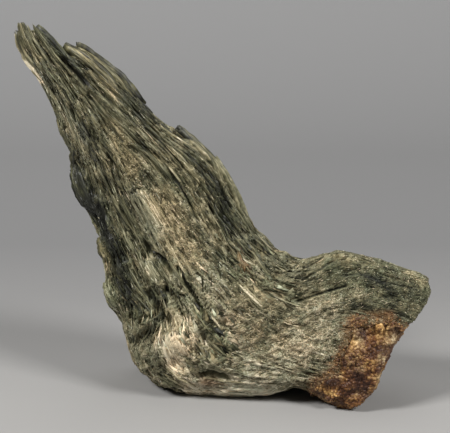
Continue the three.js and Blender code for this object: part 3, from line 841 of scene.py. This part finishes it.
def fine_body(body, cover, material):
    """The whole surface as one closed mesh: the grid, with its first and last rows closed by strips."""
    r, c = np.indices((body.rows - 1, COLUMNS)).reshape(2, -1)
    c2 = c + 1
    rounds = [(r, c), (r + 1, c), (r + 1, c2), (r, c2)]
    quads = np.stack([row * COLUMNS + column % COLUMNS for row, column in rounds], -1)
    places = [np.stack([column / COLUMNS, row / (body.rows - 1)], -1) for row, column in rounds]
    i = np.arange(1, HALF_COLUMNS - 1)
    strip = np.stack([i, i + 1, COLUMNS - i - 1, COLUMNS - i], -1)
    ends = np.array([[0, 1, COLUMNS - 1], [HALF_COLUMNS - 1, HALF_COLUMNS, HALF_COLUMNS + 1]])
    last = (body.rows - 1) * COLUMNS
    sets = [quads, strip, last + strip[:, ::-1], ends, last + ends[:, ::-1]]
    made = mesh_object("actinolite_mass", body.points.reshape(-1, 3), *sets)
    caps = np.concatenate([faces.ravel() for faces in sets[1:]])
    caps = np.stack([caps % COLUMNS / COLUMNS, caps // COLUMNS / (body.rows - 1)], -1)
    add_map(made, np.concatenate([np.stack(places, 1).reshape(-1, 2), caps]))
    values = dict(cover)
    flow = [(body.smooth * body.across).sum(-1), (body.smooth * body.fibre).sum(-1), 0 * body.turn]
    values["flow"] = np.stack(flow, -1)
    return dress(made, values, material)


def grid_cells(count):
    """The lowest corners of equal square places on a map, and their size."""
    side = math.ceil(math.sqrt(count))
    cell = np.arange(count)
    return np.stack([cell % side, cell // side], -1) / side, 1 / side


def needles(name, body, cover, material, seed, count, weight, length, width, stray, lift, spread):
    """Thin fibres lying on the body, each with a sharp crest. Ranges are (least, most) in millimetres."""
    rng = np.random.default_rng(seed)
    row, column = body.pick(rng, count, weight)
    r, c = body.cells(row, column)
    half = 0.5 * between(length, rng.random(count) ** 2)
    wide = 0.5 * between(width, rng.random(count) ** 2)
    angle = rng.normal(0, stray, count)
    turn_row = body.row_step[r, c] * half * np.cos(angle)
    turn_column = body.column_step[r, c] * half * np.cos(angle)
    column_size = np.maximum(size_of(body.per_column[r, c]), 0.1)
    turn_column = turn_column + half * np.sin(angle) / column_size
    normal = body.normal[r, c]
    rise = between(lift, rng.random((count, 2)))[..., None]
    a = body.at(body.points, row - turn_row, column - turn_column) + normal * rise[:, 0]
    b = body.at(body.points, row + turn_row, column + turn_column) + normal * rise[:, 1]
    middle = body.at(body.points, row, column)
    laid = (((a + b) / 2 - middle) * normal).sum(-1) < BRIDGE
    for end in (a, b):
        laid &= size_of(end - middle) < 1.5 * half + 0.2
    for way in (-1, 1):
        laid &= body.crack[body.cells(row + way * turn_row, column + way * turn_column)] < CRACK_CLEAR
    r, c, a, b, middle, normal = (part[laid] for part in (r, c, a, b, middle, normal))
    wide, half, count = wide[laid], half[laid], laid.sum()
    side = unit(np.cross(normal, b - a)) * wide[:, None]
    low = middle - NEEDLE_SINK * normal
    points = in_box(np.stack([a, b, low + side, low - side], 1))
    spokes = points[:, 1:] - points[:, :1]
    inward = (spokes[:, 0] * np.cross(spokes[:, 1], spokes[:, 2])).sum(-1) < 0
    points[inward] = points[inward][:, [0, 1, 3, 2]]
    pattern = np.array([[0, 1, 3], [0, 2, 1], [0, 3, 2], [1, 2, 3]])
    faces = (4 * np.arange(count)[:, None, None] + pattern).reshape(-1, 3)
    made = mesh_object(name, points.reshape(-1, 3), faces)
    corner, size = grid_cells(count)
    place = np.array([[0.05, 0.5], [0.95, 0.5], [0.5, 0.05], [0.5, 0.95]])
    add_map(made, (corner[:, None, None] + size * place[pattern]).reshape(-1, 2))
    values = {kind: np.repeat(cover[kind][r, c], 4) for kind in cover}
    # Painted glints: each fibre's random tone leans towards bright.
    glint = 0.5 * rng.normal(0, 1, count) + 0.85 * (rng.exponential(1, count) - 1)
    values["tone"] = values["tone"] + np.repeat(glint * spread, 4)
    hue = np.repeat(rng.normal(0, HUE_SPREAD, count), 4)
    values["tan"] = np.clip(values["tan"] + hue, 0, 1)
    values["green"] = np.clip(values["green"] - hue, 0, 1)
    local = np.array([[0, -1], [0, 1], [-1, 0], [1, 0]])[None] * np.stack([wide, half], -1)[:, None]
    start = FLOW_RANGE * rng.random((count, 1, 2))
    values["flow"] = np.concatenate([start + local, np.zeros((count, 4, 1))], -1)
    return dress(made, values, material)


# A blade's cut across: how far across, how high, and whether it is sunk in the mass.
RING = np.array([[-1.0, 0, 1], [-0.9, 0.75, 0], [-0.3, 1.0, 0], [0.35, 0.9, 0], [0.9, 0.7, 0], [1.0, 0, 1]])

# How far the sunk edges go down, in millimetres, and how even the colour is along a blade.
SUNK = 1.3
EVEN = 0.7


def blade_mesh(name, cover, material, seed, centre, normal, width, thick, cells, spread):
    """Closed blades along lines of centres, with sharp sides and splintered ends, joined in one mesh."""
    rng = np.random.default_rng(seed)
    count, rings = centre.shape[:2]
    n = len(RING)
    sunk = RING[:, 2]
    way = unit(np.gradient(centre, axis=1))
    side = unit(np.cross(normal, way))
    share = np.linspace(0, 1, rings)
    blunt = rng.uniform(0.05, 0.35, (2, count, 1))
    taper = np.minimum(1, 0.25 + share / blunt[0]) * np.minimum(1, 0.25 + (1 - share) / blunt[1])
    taper = (taper * (1 + 0.12 * rng.normal(0, 1, taper.shape)))[..., None]
    across = RING[:, 0] + 0.25 * rng.uniform(-1, 1, (count, 1, 1)) * (np.abs(RING[:, 0]) < 0.5)
    across = across * (0.5 * width[:, None, None]) * taper
    lean = rng.uniform(-0.5, 0.5, (count, 1, 1)) * RING[:, 0]
    tall = RING[:, 1] + lean + 0.12 * rng.normal(0, 1, (count, rings, n))
    tall = tall * thick[:, None, None] * np.minimum(1, 0.4 + taper)
    tall = np.where(sunk == 1, -SUNK, tall)
    shift = np.zeros((count, rings, n))
    shift[:, 0] = -0.9 * rng.random((count, n)) * width[:, None]
    shift[:, -1] = 0.9 * rng.random((count, n)) * width[:, None]
    points = centre[:, :, None] + side[:, :, None] * across[..., None]
    points = points + normal[:, :, None] * tall[..., None]
    points = in_box(points + way[:, :, None] * shift[..., None])
    i, j = np.indices((rings - 1, n)).reshape(2, -1)
    rounds = [(i, j), (i + 1, j), (i + 1, j + 1), (i, j + 1)]
    tube = np.stack([ring * n + place % n for ring, place in rounds], -1)
    tube_map = np.stack([np.stack([ring / (rings - 1), place / n], -1) for ring, place in rounds], 1)
    caps = np.array([np.arange(n), (rings - 1) * n + np.arange(n)[::-1]])
    caps_map = np.stack([caps // n / (rings - 1), caps % n / n], -1)
    start = rings * n * np.arange(count)[:, None, None]
    sets = [(start + tube).reshape(-1, 4), (start + caps).reshape(-1, n)]
    made = mesh_object(name, points.reshape(-1, 3), *sets)
    corner, size = grid_cells(count)
    maps = [corner[:, None, None] + 0.94 * size * (0.03 + part) for part in (tube_map, caps_map)]
    add_map(made, np.concatenate([part.reshape(-1, 2) for part in maps]))
    values = {}
    for kind in cover:
        own = cover[kind][cells]
        own = (1 - EVEN) * own + EVEN * own.mean(1, keepdims=True)
        values[kind] = np.repeat(own, n, -1)
    values["tone"] = values["tone"] + np.repeat(rng.normal(0, 1, (count, 1)) * spread, rings * n, -1)
    # Painted shade where each blade sinks into the mass: its sunk edges are darker.
    values["tone"] = values["tone"] - 0.50 * np.tile(sunk, (count, rings))
    steps = size_of(np.diff(centre, axis=1))
    gone = np.concatenate([np.zeros((count, 1)), np.cumsum(steps, 1)], 1)
    start = FLOW_RANGE * rng.random((2, count, 1, 1))
    flow = [across + start[0], np.repeat(gone[..., None], n, -1) + start[1], 0 * across]
    values["flow"] = np.stack(flow, -1)
    return dress(made, values, material)


def laths(name, body, cover, material, seed, count, weight, length, width, thick, rings=10):
    """Blades along the fibres at random places. Ranges are (least, most) in millimetres."""
    rng = np.random.default_rng(seed)
    row, column = body.pick(rng, count, weight)
    long = between(length, rng.random(count) ** 1.7)
    wide = between(width, rng.random(count) ** 2) * np.minimum(1, 0.5 + long / 40)
    deep = between(thick, rng.random(count) ** 2)
    row, column = body.walk(row, column, -long / 2)
    lines = [(row, column)]
    for _ in range(rings - 1):
        row, column = body.walk(row, column, long / (rings - 1))
        lines.append((row, column))
    row, column = (np.stack(part, 1) for part in zip(*lines))
    row = np.clip(row, 1, TIP_ROWS + BODY_ROWS - 4)
    cells = body.cells(row, column)
    smooth = body.at(body.smooth, row, column)
    normal = unit(body.at(body.normal, row, column))
    own = body.height[cells]
    level = 0.5 * own.mean(1, keepdims=True) + 0.5 * own + rng.uniform(-0.3, 0.25, (count, 1))
    centre = smooth + normal * level[..., None]
    steps = size_of(np.diff(centre, axis=1))
    kept = (steps.min(1) > 0.2) & (steps.max(1) < 1.5 * long / (rings - 1))
    kept &= body.crack[cells].max(1) < CRACK_CLEAR
    cells = tuple(part[kept] for part in cells)
    centre, normal, wide, deep = (part[kept] for part in (centre, normal, wide, deep))
    return blade_mesh(name, cover, material, seed + 1, centre, normal, wide, deep, cells, spread=0.20)


def splinters(name, body, cover, material, rings=14):
    """The named blades, through their own pixels, at the depth of the mass beside them."""
    rng = np.random.default_rng(79)
    centre, normal, cells = [], [], []
    for row in range(len(SPLINTERS) * SPLIT):
        wide, _, line = SPLINTERS[row // SPLIT]
        line = np.asarray(line, float)
        gone = np.concatenate([[0], np.cumsum(size_of(np.diff(line, axis=0)))])
        side = row % SPLIT - (SPLIT - 1) / 2
        at = np.linspace(2.5 * abs(side) * rng.random(), gone[-1] * rng.uniform(0.8, 1), rings)
        pixels = np.stack([np.interp(at, gone, line[:, k]) for k in range(2)], -1)
        way = unit(np.gradient(pixels, axis=0))
        aside = 0.42 * side * wide / MM_PER_PX + 0.3 * rng.normal()
        sideways = aside * np.stack([-way[:, 1], way[:, 0]], -1)
        pixels = pixels + sideways * np.linspace(0.6, 1, rings)[:, None]
        r, c = body.nearest(pixels)
        depth = body.points[r, c, 1] + REST_SETBACK
        for _ in range(3):
            depth = np.convolve(np.pad(depth, 1, "edge"), [0.25, 0.5, 0.25], "valid")
        sunk = 1.6 * smooth_step(0.55, 1, np.linspace(0, 1, rings))[:, None]
        centre.append(sight(pixels[:, 0], pixels[:, 1], depth) - sunk * body.normal[r, c])
        normal.append(body.normal[r, c])
        cells.append((r, c))
    cells = tuple(np.stack(part) for part in zip(*cells))
    width, thick = (np.repeat([row[k] for row in SPLINTERS], SPLIT) for k in range(2))
    width = width * rng.uniform(0.4, 0.8, len(width))
    thick = thick * rng.uniform(0.6, 1.1, len(thick))
    centre, normal = np.stack(centre), np.stack(normal)
    return blade_mesh(name, cover, material, 77, centre, normal, width, thick, cells, spread=0.22)


# Materials
def new_material(name):
    """A new material, its node tree and its shader."""
    material = bpy.data.materials.new(name)
    material.use_nodes = True
    return material, material.node_tree, material.node_tree.nodes["Principled BSDF"]


def socket(tree, node, name, value):
    if isinstance(value, bpy.types.NodeSocket):
        tree.links.new(value, node.inputs[name])
    else:
        node.inputs[name].default_value = value


def attribute(tree, name, vector=False):
    node = tree.nodes.new("ShaderNodeAttribute")
    node.attribute_name = name
    return node.outputs["Vector" if vector else "Fac"]


def maths(tree, operation, a, b, clamp=False):
    node = tree.nodes.new("ShaderNodeMath")
    node.operation = operation
    node.use_clamp = clamp
    socket(tree, node, 0, a)
    socket(tree, node, 1, b)
    return node.outputs[0]


def stretched(tree, vector, scale):
    node = tree.nodes.new("ShaderNodeMapping")
    node.inputs["Scale"].default_value = scale
    tree.links.new(vector, node.inputs["Vector"])
    return node.outputs["Vector"]


def noise(tree, vector, scale=1.0, detail=2.0, roughness=0.7):
    node = tree.nodes.new("ShaderNodeTexNoise")
    node.inputs["Scale"].default_value = scale
    node.inputs["Detail"].default_value = detail
    node.inputs["Roughness"].default_value = roughness
    tree.links.new(vector, node.inputs["Vector"])
    return node.outputs["Fac"]


def ramp_colour(tree, fac, stops):
    node = tree.nodes.new("ShaderNodeValToRGB")
    elements = node.color_ramp.elements
    while len(elements) < len(stops):
        elements.new(0.5)
    for element, (at, colour) in zip(elements, stops):
        element.position = at
        element.color = (*colour, 1)
    tree.links.new(fac, node.inputs["Fac"])
    return node.outputs["Color"]


def mix_colour(tree, fac, a, b, blend="MIX"):
    node = tree.nodes.new("ShaderNodeMix")
    node.data_type = "RGBA"
    node.blend_type = blend
    socket(tree, node, 0, fac)
    socket(tree, node, 6, a)
    socket(tree, node, 7, b)
    return node.outputs[2]


def tinted(tree, kind, colour, tint):
    """A colour multiplied by a tint, by the share that an attribute gives."""
    return mix_colour(tree, attribute(tree, kind), colour, mix_colour(tree, 1.0, colour, tint, "MULTIPLY"))


def tone_place(tree, strength, middle, spread):
    """Where a point lies on its ramp of tones, from its tone attribute and its flecks."""
    tone = maths(tree, "MULTIPLY", attribute(tree, "tone"), strength)
    return maths(tree, "ADD", maths(tree, "ADD", tone, middle), spread)


def bumped(tree, shader, height, strength, distance):
    bump = tree.nodes.new("ShaderNodeBump")
    bump.inputs["Strength"].default_value = strength
    bump.inputs["Distance"].default_value = distance * MM
    tree.links.new(height, bump.inputs["Height"])
    tree.links.new(bump.outputs["Normal"], shader.inputs["Normal"])


ACTINOLITE_TONES = [
    (0.00, (0.009, 0.0095, 0.006)),
    (0.25, (0.046, 0.047, 0.024)),
    (0.50, (0.142, 0.1375, 0.077)),
    (0.75, (0.318, 0.297, 0.192)),
    (1.00, (0.760, 0.715, 0.565)),
]
TAN_TINT = (1.12, 0.96, 0.82, 1)
GREEN_TINT = (0.70, 0.77, 0.68, 1)
SHEEN_GREY = (0.19, 0.195, 0.155, 1)
RUST = (0.24, 0.085, 0.018, 1)

# How many times a millimetre the noise repeats across the fibres.
ACROSS = 2.4


def actinolite_material(name, contrast, along=0.16):
    """Fibres lie along the second number of the flow attribute; felt has short flecks in their place."""
    material, tree, shader = new_material(name)
    flow = attribute(tree, "flow", vector=True)
    hair = noise(tree, stretched(tree, flow, (ACROSS, along, 1)))
    fleck = noise(tree, stretched(tree, flow, (ACROSS, 1.5, 1)))
    felt = attribute(tree, "felt")
    lie = mix_colour(tree, felt, hair, fleck)
    spread = maths(tree, "MULTIPLY", maths(tree, "SUBTRACT", lie, 0.5), contrast)
    colour = ramp_colour(tree, tone_place(tree, 0.45, 0.52, spread), ACTINOLITE_TONES)
    colour = tinted(tree, "tan", colour, TAN_TINT)
    colour = tinted(tree, "green", colour, GREEN_TINT)
    # Painted sheen: pale grey mixed into the colour where the sheen attribute is high.
    sheen = maths(tree, "MULTIPLY", attribute(tree, "sheen"), 0.22)
    colour = mix_colour(tree, sheen, colour, SHEEN_GREY)
    rust = maths(tree, "MULTIPLY", attribute(tree, "rust"), maths(tree, "ADD", fleck, 0.1))
    colour = mix_colour(tree, rust, colour, RUST)
    tree.links.new(colour, shader.inputs["Base Color"])
    shader.inputs["Specular IOR Level"].default_value = 0.4
    rough = maths(tree, "SUBTRACT", 0.52, maths(tree, "MULTIPLY", attribute(tree, "sheen"), 0.22))
    rough = maths(tree, "ADD", rough, maths(tree, "MULTIPLY", felt, 0.12), clamp=True)
    tree.links.new(rough, shader.inputs["Roughness"])
    bumped(tree, shader, lie, 0.6, 0.3)
    return material


ANDRADITE_TONES = [
    (0.00, (0.030, 0.012, 0.007)),
    (0.28, (0.074, 0.034, 0.017)),
    (0.52, (0.164, 0.098, 0.046)),
    (0.76, (0.345, 0.262, 0.142)),
    (1.00, (0.680, 0.560, 0.390)),
]
ORANGE_TINT = (1.20, 0.94, 0.58, 1)


def andradite_material():
    material, tree, shader = new_material("andradite_grains")
    place = attribute(tree, "place", vector=True)
    fleck = noise(tree, place, scale=0.9, detail=4, roughness=0.8)
    spread = maths(tree, "MULTIPLY", maths(tree, "SUBTRACT", fleck, 0.5), 1.6)
    colour = ramp_colour(tree, tone_place(tree, 0.5, 0.50, spread), ANDRADITE_TONES)
    colour = tinted(tree, "orange", colour, ORANGE_TINT)
    tree.links.new(colour, shader.inputs["Base Color"])
    shader.inputs["Specular IOR Level"].default_value = 0.35
    rough = maths(tree, "SUBTRACT", 0.62, maths(tree, "MULTIPLY", fleck, 0.35), clamp=True)
    tree.links.new(rough, shader.inputs["Roughness"])
    bumped(tree, shader, fleck, 0.5, 0.3)
    return material


# The outward directions of a garnet crystal's twelve faces
FACES = np.array([[a, b, 0] for a in (1, -1) for b in (1, -1)], float) / math.sqrt(2)
FACES = np.concatenate([np.roll(FACES, k, 1) for k in range(3)])


def garnet_mass(material):
    """The andradite's solid, made of fine crystal grains."""
    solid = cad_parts["andradite"]
    made = linked("andradite_grains", solid.data.copy())
    made.matrix_world = solid.matrix_world
    made.data.materials.clear()
    made.data.materials.append(material)
    made.data.remesh_voxel_size = GRAIN_VOXEL * MM
    with bpy.context.temp_override(object=made, active_object=made, selected_objects=[made]):
        bpy.ops.object.voxel_remesh()
    mesh = made.data
    count = len(mesh.vertices)
    points, normal = np.empty(3 * count), np.empty(3 * count)
    mesh.vertices.foreach_get("co", points)
    mesh.vertices.foreach_get("normal", normal)
    points, normal = points.reshape(-1, 3) / MM, normal.reshape(-1, 3)
    low, high = points.min(0), points.max(0)
    rng = np.random.default_rng(19)
    steps = np.ceil((high - low) / GRAIN_SPACING).astype(int) + 2
    jitter = rng.uniform(0, 1, (steps.prod(), 3))
    seeds = low + GRAIN_SPACING * (np.indices(steps).reshape(3, -1).T - 1 + jitter)
    tree = KDTree(len(seeds))
    for i, seed in enumerate(seeds):
        tree.insert(seed, i)
    tree.balance()
    owner = np.array([tree.find(point)[1] for point in points])
    delta = points - seeds[owner]
    turn = unit(rng.normal(0, 1, (len(seeds), 4)))[owner]
    spun = delta + 2 * np.cross(turn[:, :3], np.cross(turn[:, :3], delta) + turn[:, 3:] * delta)
    size = (spun @ FACES.T).max(1)
    crest = 0.75 * GRAIN_SPACING * rng.uniform(0.6, 1.15, len(seeds))[owner] - size
    lift = np.clip(0.8 * crest, -0.45, 0.45) + 0.6 * drift(91, points, 3)
    points = in_box(points + normal * lift[:, None])
    mesh.vertices.foreach_set("co", (points * MM).astype(np.float32).ravel())
    mesh.update()
    pixel = seen_at(points)
    front = normal @ FORWARD < 0.2
    tone = 0.35 * drift(92, points, 7) + 0.60 * drift(93, points, 2.8)
    tone = tone + 0.5 * (rng.random(len(seeds))[owner] - 0.5)
    tone = tone + 0.6 * np.clip(crest, -0.6, 0.2) - 0.13
    cover = {"tone": tone, "orange": 0.45 + 0.8 * drift(94, points, 5)}
    add_strokes(cover, GARNET_STROKES, pixel, front)
    add_numbers(made, "tone", cover["tone"])
    add_numbers(made, "orange", np.clip(cover["orange"], 0, 1))
    add_vectors(made, "place", points)
    add_map(made, cube_map(mesh, points))
    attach(made, "root")
    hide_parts("andradite")


def cube_map(mesh, points):
    """A place on a map for each face corner, by the side of a cube that its face lies towards."""
    corner = np.empty(len(mesh.loops), np.int32)
    mesh.loops.foreach_get("vertex_index", corner)
    sizes = np.empty(len(mesh.polygons), np.int32)
    mesh.polygons.foreach_get("loop_total", sizes)
    face = np.repeat(np.arange(len(sizes)), sizes)
    low, high = points.min(0), points.max(0)
    spot = (points[corner] - (low + high) / 2) / (high - low)
    middle = np.stack([np.bincount(face, spot[:, k]) for k in range(3)], -1)
    axis = np.abs(middle).argmax(1)[face]
    far = middle[np.arange(len(sizes)), np.abs(middle).argmax(1)][face] > 0
    lines = np.arange(len(corner))
    depth = np.maximum(np.abs(spot[lines, axis]), 0.05)
    flat = np.stack([spot[lines, (axis + k) % 3] for k in (1, 2)], -1) / depth[:, None]
    flat = 0.5 + 0.46 * np.clip(flat, -1.05, 1.05)
    return (np.stack([axis, far], -1) + flat) / np.array([3, 2])


# A garnet crystal's corners, and the four corners of each of its rhombic faces
CUBE = np.array([[x, y, z] for x in (-1, 1) for y in (-1, 1) for z in (-1, 1)], float)
CORNERS = np.concatenate([CUBE, [[-2, 0, 0], [2, 0, 0], [0, -2, 0], [0, 2, 0], [0, 0, -2], [0, 0, 2]]])


def rhombs():
    faces = []
    for face in FACES:
        reach = CORNERS @ face
        around = np.flatnonzero(reach > reach.max() - 1e-6)
        middle = CORNERS[around].mean(0)
        first = unit(CORNERS[around[0]] - middle)
        second = np.cross(face, first)
        spokes = CORNERS[around] - middle
        faces.append(around[np.argsort(np.arctan2(spokes @ second, spokes @ first))])
    return np.array(faces)


def strewn_garnets(body, material, count=3000):
    """Small garnets grown into the actinolite along the andradite's edge."""
    rng = np.random.default_rng(501)
    near_edge = np.where(body.garnet < 6, np.exp(-((np.minimum(body.garnet, 0) / 6.0) ** 2)), 0)
    near_edge = near_edge + 2 * np.exp(-(((body.garnet - 1.5) / 1.8) ** 2))
    clump = 0.25 + smooth_step(-0.3, 0.5, drift(95, body.smooth, 5))
    row, column = body.pick(rng, count, near_edge * clump)
    cells = body.cells(row, column)
    radius = rng.uniform(0.3, 0.75, count) * (0.5 + 0.5 * rng.random(count))
    spin = unit(rng.normal(0, 1, (count, 3)))
    side = unit(np.cross(spin, rng.normal(0, 1, (count, 3))))
    axes = np.stack([spin, side, np.cross(spin, side)], 1)
    centre = body.at(body.points, row, column)
    points = centre[:, None] + 0.5 * radius[:, None, None] * (CORNERS @ axes)
    n = len(CORNERS)
    faces = (n * np.arange(count)[:, None, None] + rhombs()).reshape(-1, 4)
    made = mesh_object("andradite_strewn", in_box(points).reshape(-1, 3), faces)
    corner, size = grid_cells(count)
    square = size * np.array([[0.05, 0.05], [0.95, 0.05], [0.95, 0.95], [0.05, 0.95]])
    add_map(made, np.repeat(corner[:, None, None] + square, len(FACES), 1).reshape(-1, 2))
    add_numbers(made, "tone", np.repeat(rng.uniform(-0.55, 0.25, count), n))
    add_numbers(made, "orange", np.repeat(rng.random(count), n))
    add_vectors(made, "place", points.reshape(-1, 3))
    made.data.materials.append(material)
    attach(made, "root")


# The floor's greys from near to far, as (metres behind the specimen, grey): painted light and shade across
# the paper, darkest where it bends up into the backdrop. They go from warm to neutral, and are neutral from
# NEUTRAL_AT metres on.
PAPER_PAINTED_SHADING = [
    (-0.10, 0.275), (-0.02, 0.27), (0.04, 0.235), (0.11, 0.20), (0.20, 0.178), (0.43, 0.215), (0.90, 0.31),
]
NEAR_WARMTH, FAR_WARMTH = (1.0, 0.985, 0.965), (1.0, 1.0, 1.01)
NEUTRAL_AT = 0.20


def sweep():
    """A pale floor that curves up into a backdrop."""
    half_width, near_y, bend_y, radius, top = 1500.0, -900.0, 420.0, 500.0, 1400.0
    turn = np.linspace(0, math.pi / 2, 24)
    bend = [(bend_y + radius * math.sin(t), radius - radius * math.cos(t)) for t in turn]
    profile = [(near_y, 0.0), *bend, (bend_y + radius, top)]
    points = np.array([(x, y, z) for y, z in profile for x in (-half_width, half_width)])
    i = 2 * np.arange(len(profile) - 1)[:, None]
    made = mesh_object("floor", points, i + np.array([[0, 1, 3, 2]]))
    made.data.polygons.foreach_set("use_smooth", np.ones(len(made.data.polygons), bool))
    material, tree, shader = new_material("floor_paper")
    place = tree.nodes.new("ShaderNodeSeparateXYZ")
    tree.links.new(tree.nodes.new("ShaderNodeNewGeometry").outputs["Position"], place.inputs[0])
    place_share = tree.nodes.new("ShaderNodeMapRange")
    first, last = PAPER_PAINTED_SHADING[0][0], PAPER_PAINTED_SHADING[-1][0]
    place_share.inputs["From Min"].default_value = first
    place_share.inputs["From Max"].default_value = last
    tree.links.new(place.outputs["Y"], place_share.inputs["Value"])
    stops = []
    for at, grey in PAPER_PAINTED_SHADING:
        share = min(1, max(0, at / NEUTRAL_AT))
        warmth = [warm * (1 - share) + plain * share for warm, plain in zip(NEAR_WARMTH, FAR_WARMTH)]
        stops.append(((at - first) / (last - first), [grey * part for part in warmth]))
    tree.links.new(ramp_colour(tree, place_share.outputs[0], stops), shader.inputs["Base Color"])
    shader.inputs["Roughness"].default_value = 0.9
    made.data.materials.append(material)


LAMP_WHITE = (1.0, 0.99, 0.97)
LAMP_AIM = np.array([10, 0, 70]) * MM


def soft_light(name, place, size, power, colour=(1, 1, 1)):
    light = bpy.data.lights.new(name, "AREA")
    light.shape = "SQUARE"
    light.size = size * MM
    light.energy = power
    light.color = colour
    made = linked(name, light)
    made.location = np.array(place) * MM
    aim = LAMP_AIM - np.array(made.location)
    yaw = math.atan2(aim[1], aim[0])
    pitch = math.atan2(math.hypot(aim[0], aim[1]), -aim[2])
    made.rotation_euler = (pitch, 0, yaw - math.pi / 2)


def studio():
    soft_light("left_lamp", (-750, -520, 1000), 300, 19, LAMP_WHITE)
    soft_light("right_lamp", (750, -640, 880), 300, 15, LAMP_WHITE)
    soft_light("top", (100, 150, 1100), 700, 3)
    world = bpy.data.worlds.new("studio")
    bpy.context.scene.world = world
    world.use_nodes = True
    background = world.node_tree.nodes["Background"]
    background.inputs["Color"].default_value = (*LAMP_WHITE, 1)
    background.inputs["Strength"].default_value = 0.07
    bpy.context.scene.view_settings.view_transform = "Standard"


SENSOR_MM = 36.0


def camera():
    """The photograph's own view."""
    lens = bpy.data.cameras.new("camera")
    lens.sensor_fit = "HORIZONTAL"
    lens.sensor_width = SENSOR_MM
    lens.lens = SENSOR_MM * FOCAL_PX / PICTURE_WIDTH
    made = linked("camera", lens)
    made.location = (EYE - np.array([0, REST_SETBACK, 0])) * MM
    made.rotation_euler = (math.pi / 2 - VIEW_ELEVATION, 0, 0)
    bpy.context.scene.camera = made


camera()
sweep()
studio()
body = Body()
cover = painted(body)
mass = fine_body(body, cover, actinolite_material("actinolite_mass", contrast=1.3))
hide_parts("actinolite")

# Where loose pieces lie: off the andradite, out of the cracks, on the front, and on bare blades.
outside = smooth_step(3.5, -0.5, body.garnet + 2.5 * drift(61, body.smooth, 2.3))
outside = outside * np.clip(1 - 1.6 * body.crack, 0, 1)
front = (body.turn < 1.05) | (body.turn > 1.95)
bladed = 0.04 * outside + (1 - body.felt) * outside
blade_material = actinolite_material("actinolite_blades", contrast=1.5)
fibre_material = actinolite_material("actinolite_fibres", contrast=1.2, along=0.8)
laths(
    "actinolite_laths", body, cover, blade_material, seed=301, count=900,
    weight=bladed * (1 - near(body.pixel, SADDLE, SADDLE_REACH)),
    length=(5, 24), width=(0.35, 1.2), thick=(0.15, 0.55),
)
splinters("actinolite_splinters", body, cover, blade_material)
needles(
    "actinolite_fibres_front", body, cover, fibre_material, seed=401, count=36000, weight=front * bladed,
    length=(1.8, 12.0), width=(0.20, 0.46), stray=0.04, lift=(0.0, 0.12), spread=0.36,
)
needles(
    "actinolite_felt_front", body, cover, fibre_material, seed=402, count=49500,
    weight=front * outside * (0.1 + body.felt),
    length=(0.5, 2.0), width=(0.26, 0.56), stray=0.9, lift=(0.0, 0.24), spread=0.62,
)
needles(
    "actinolite_fibres_back", body, cover, fibre_material, seed=403, count=31000, weight=(~front) * outside,
    length=(1.0, 6.0), width=(0.24, 0.56), stray=0.12, lift=(0.0, 0.16), spread=0.36,
)
grain_material = andradite_material()
garnet_mass(grain_material)
strewn_garnets(body, grain_material)
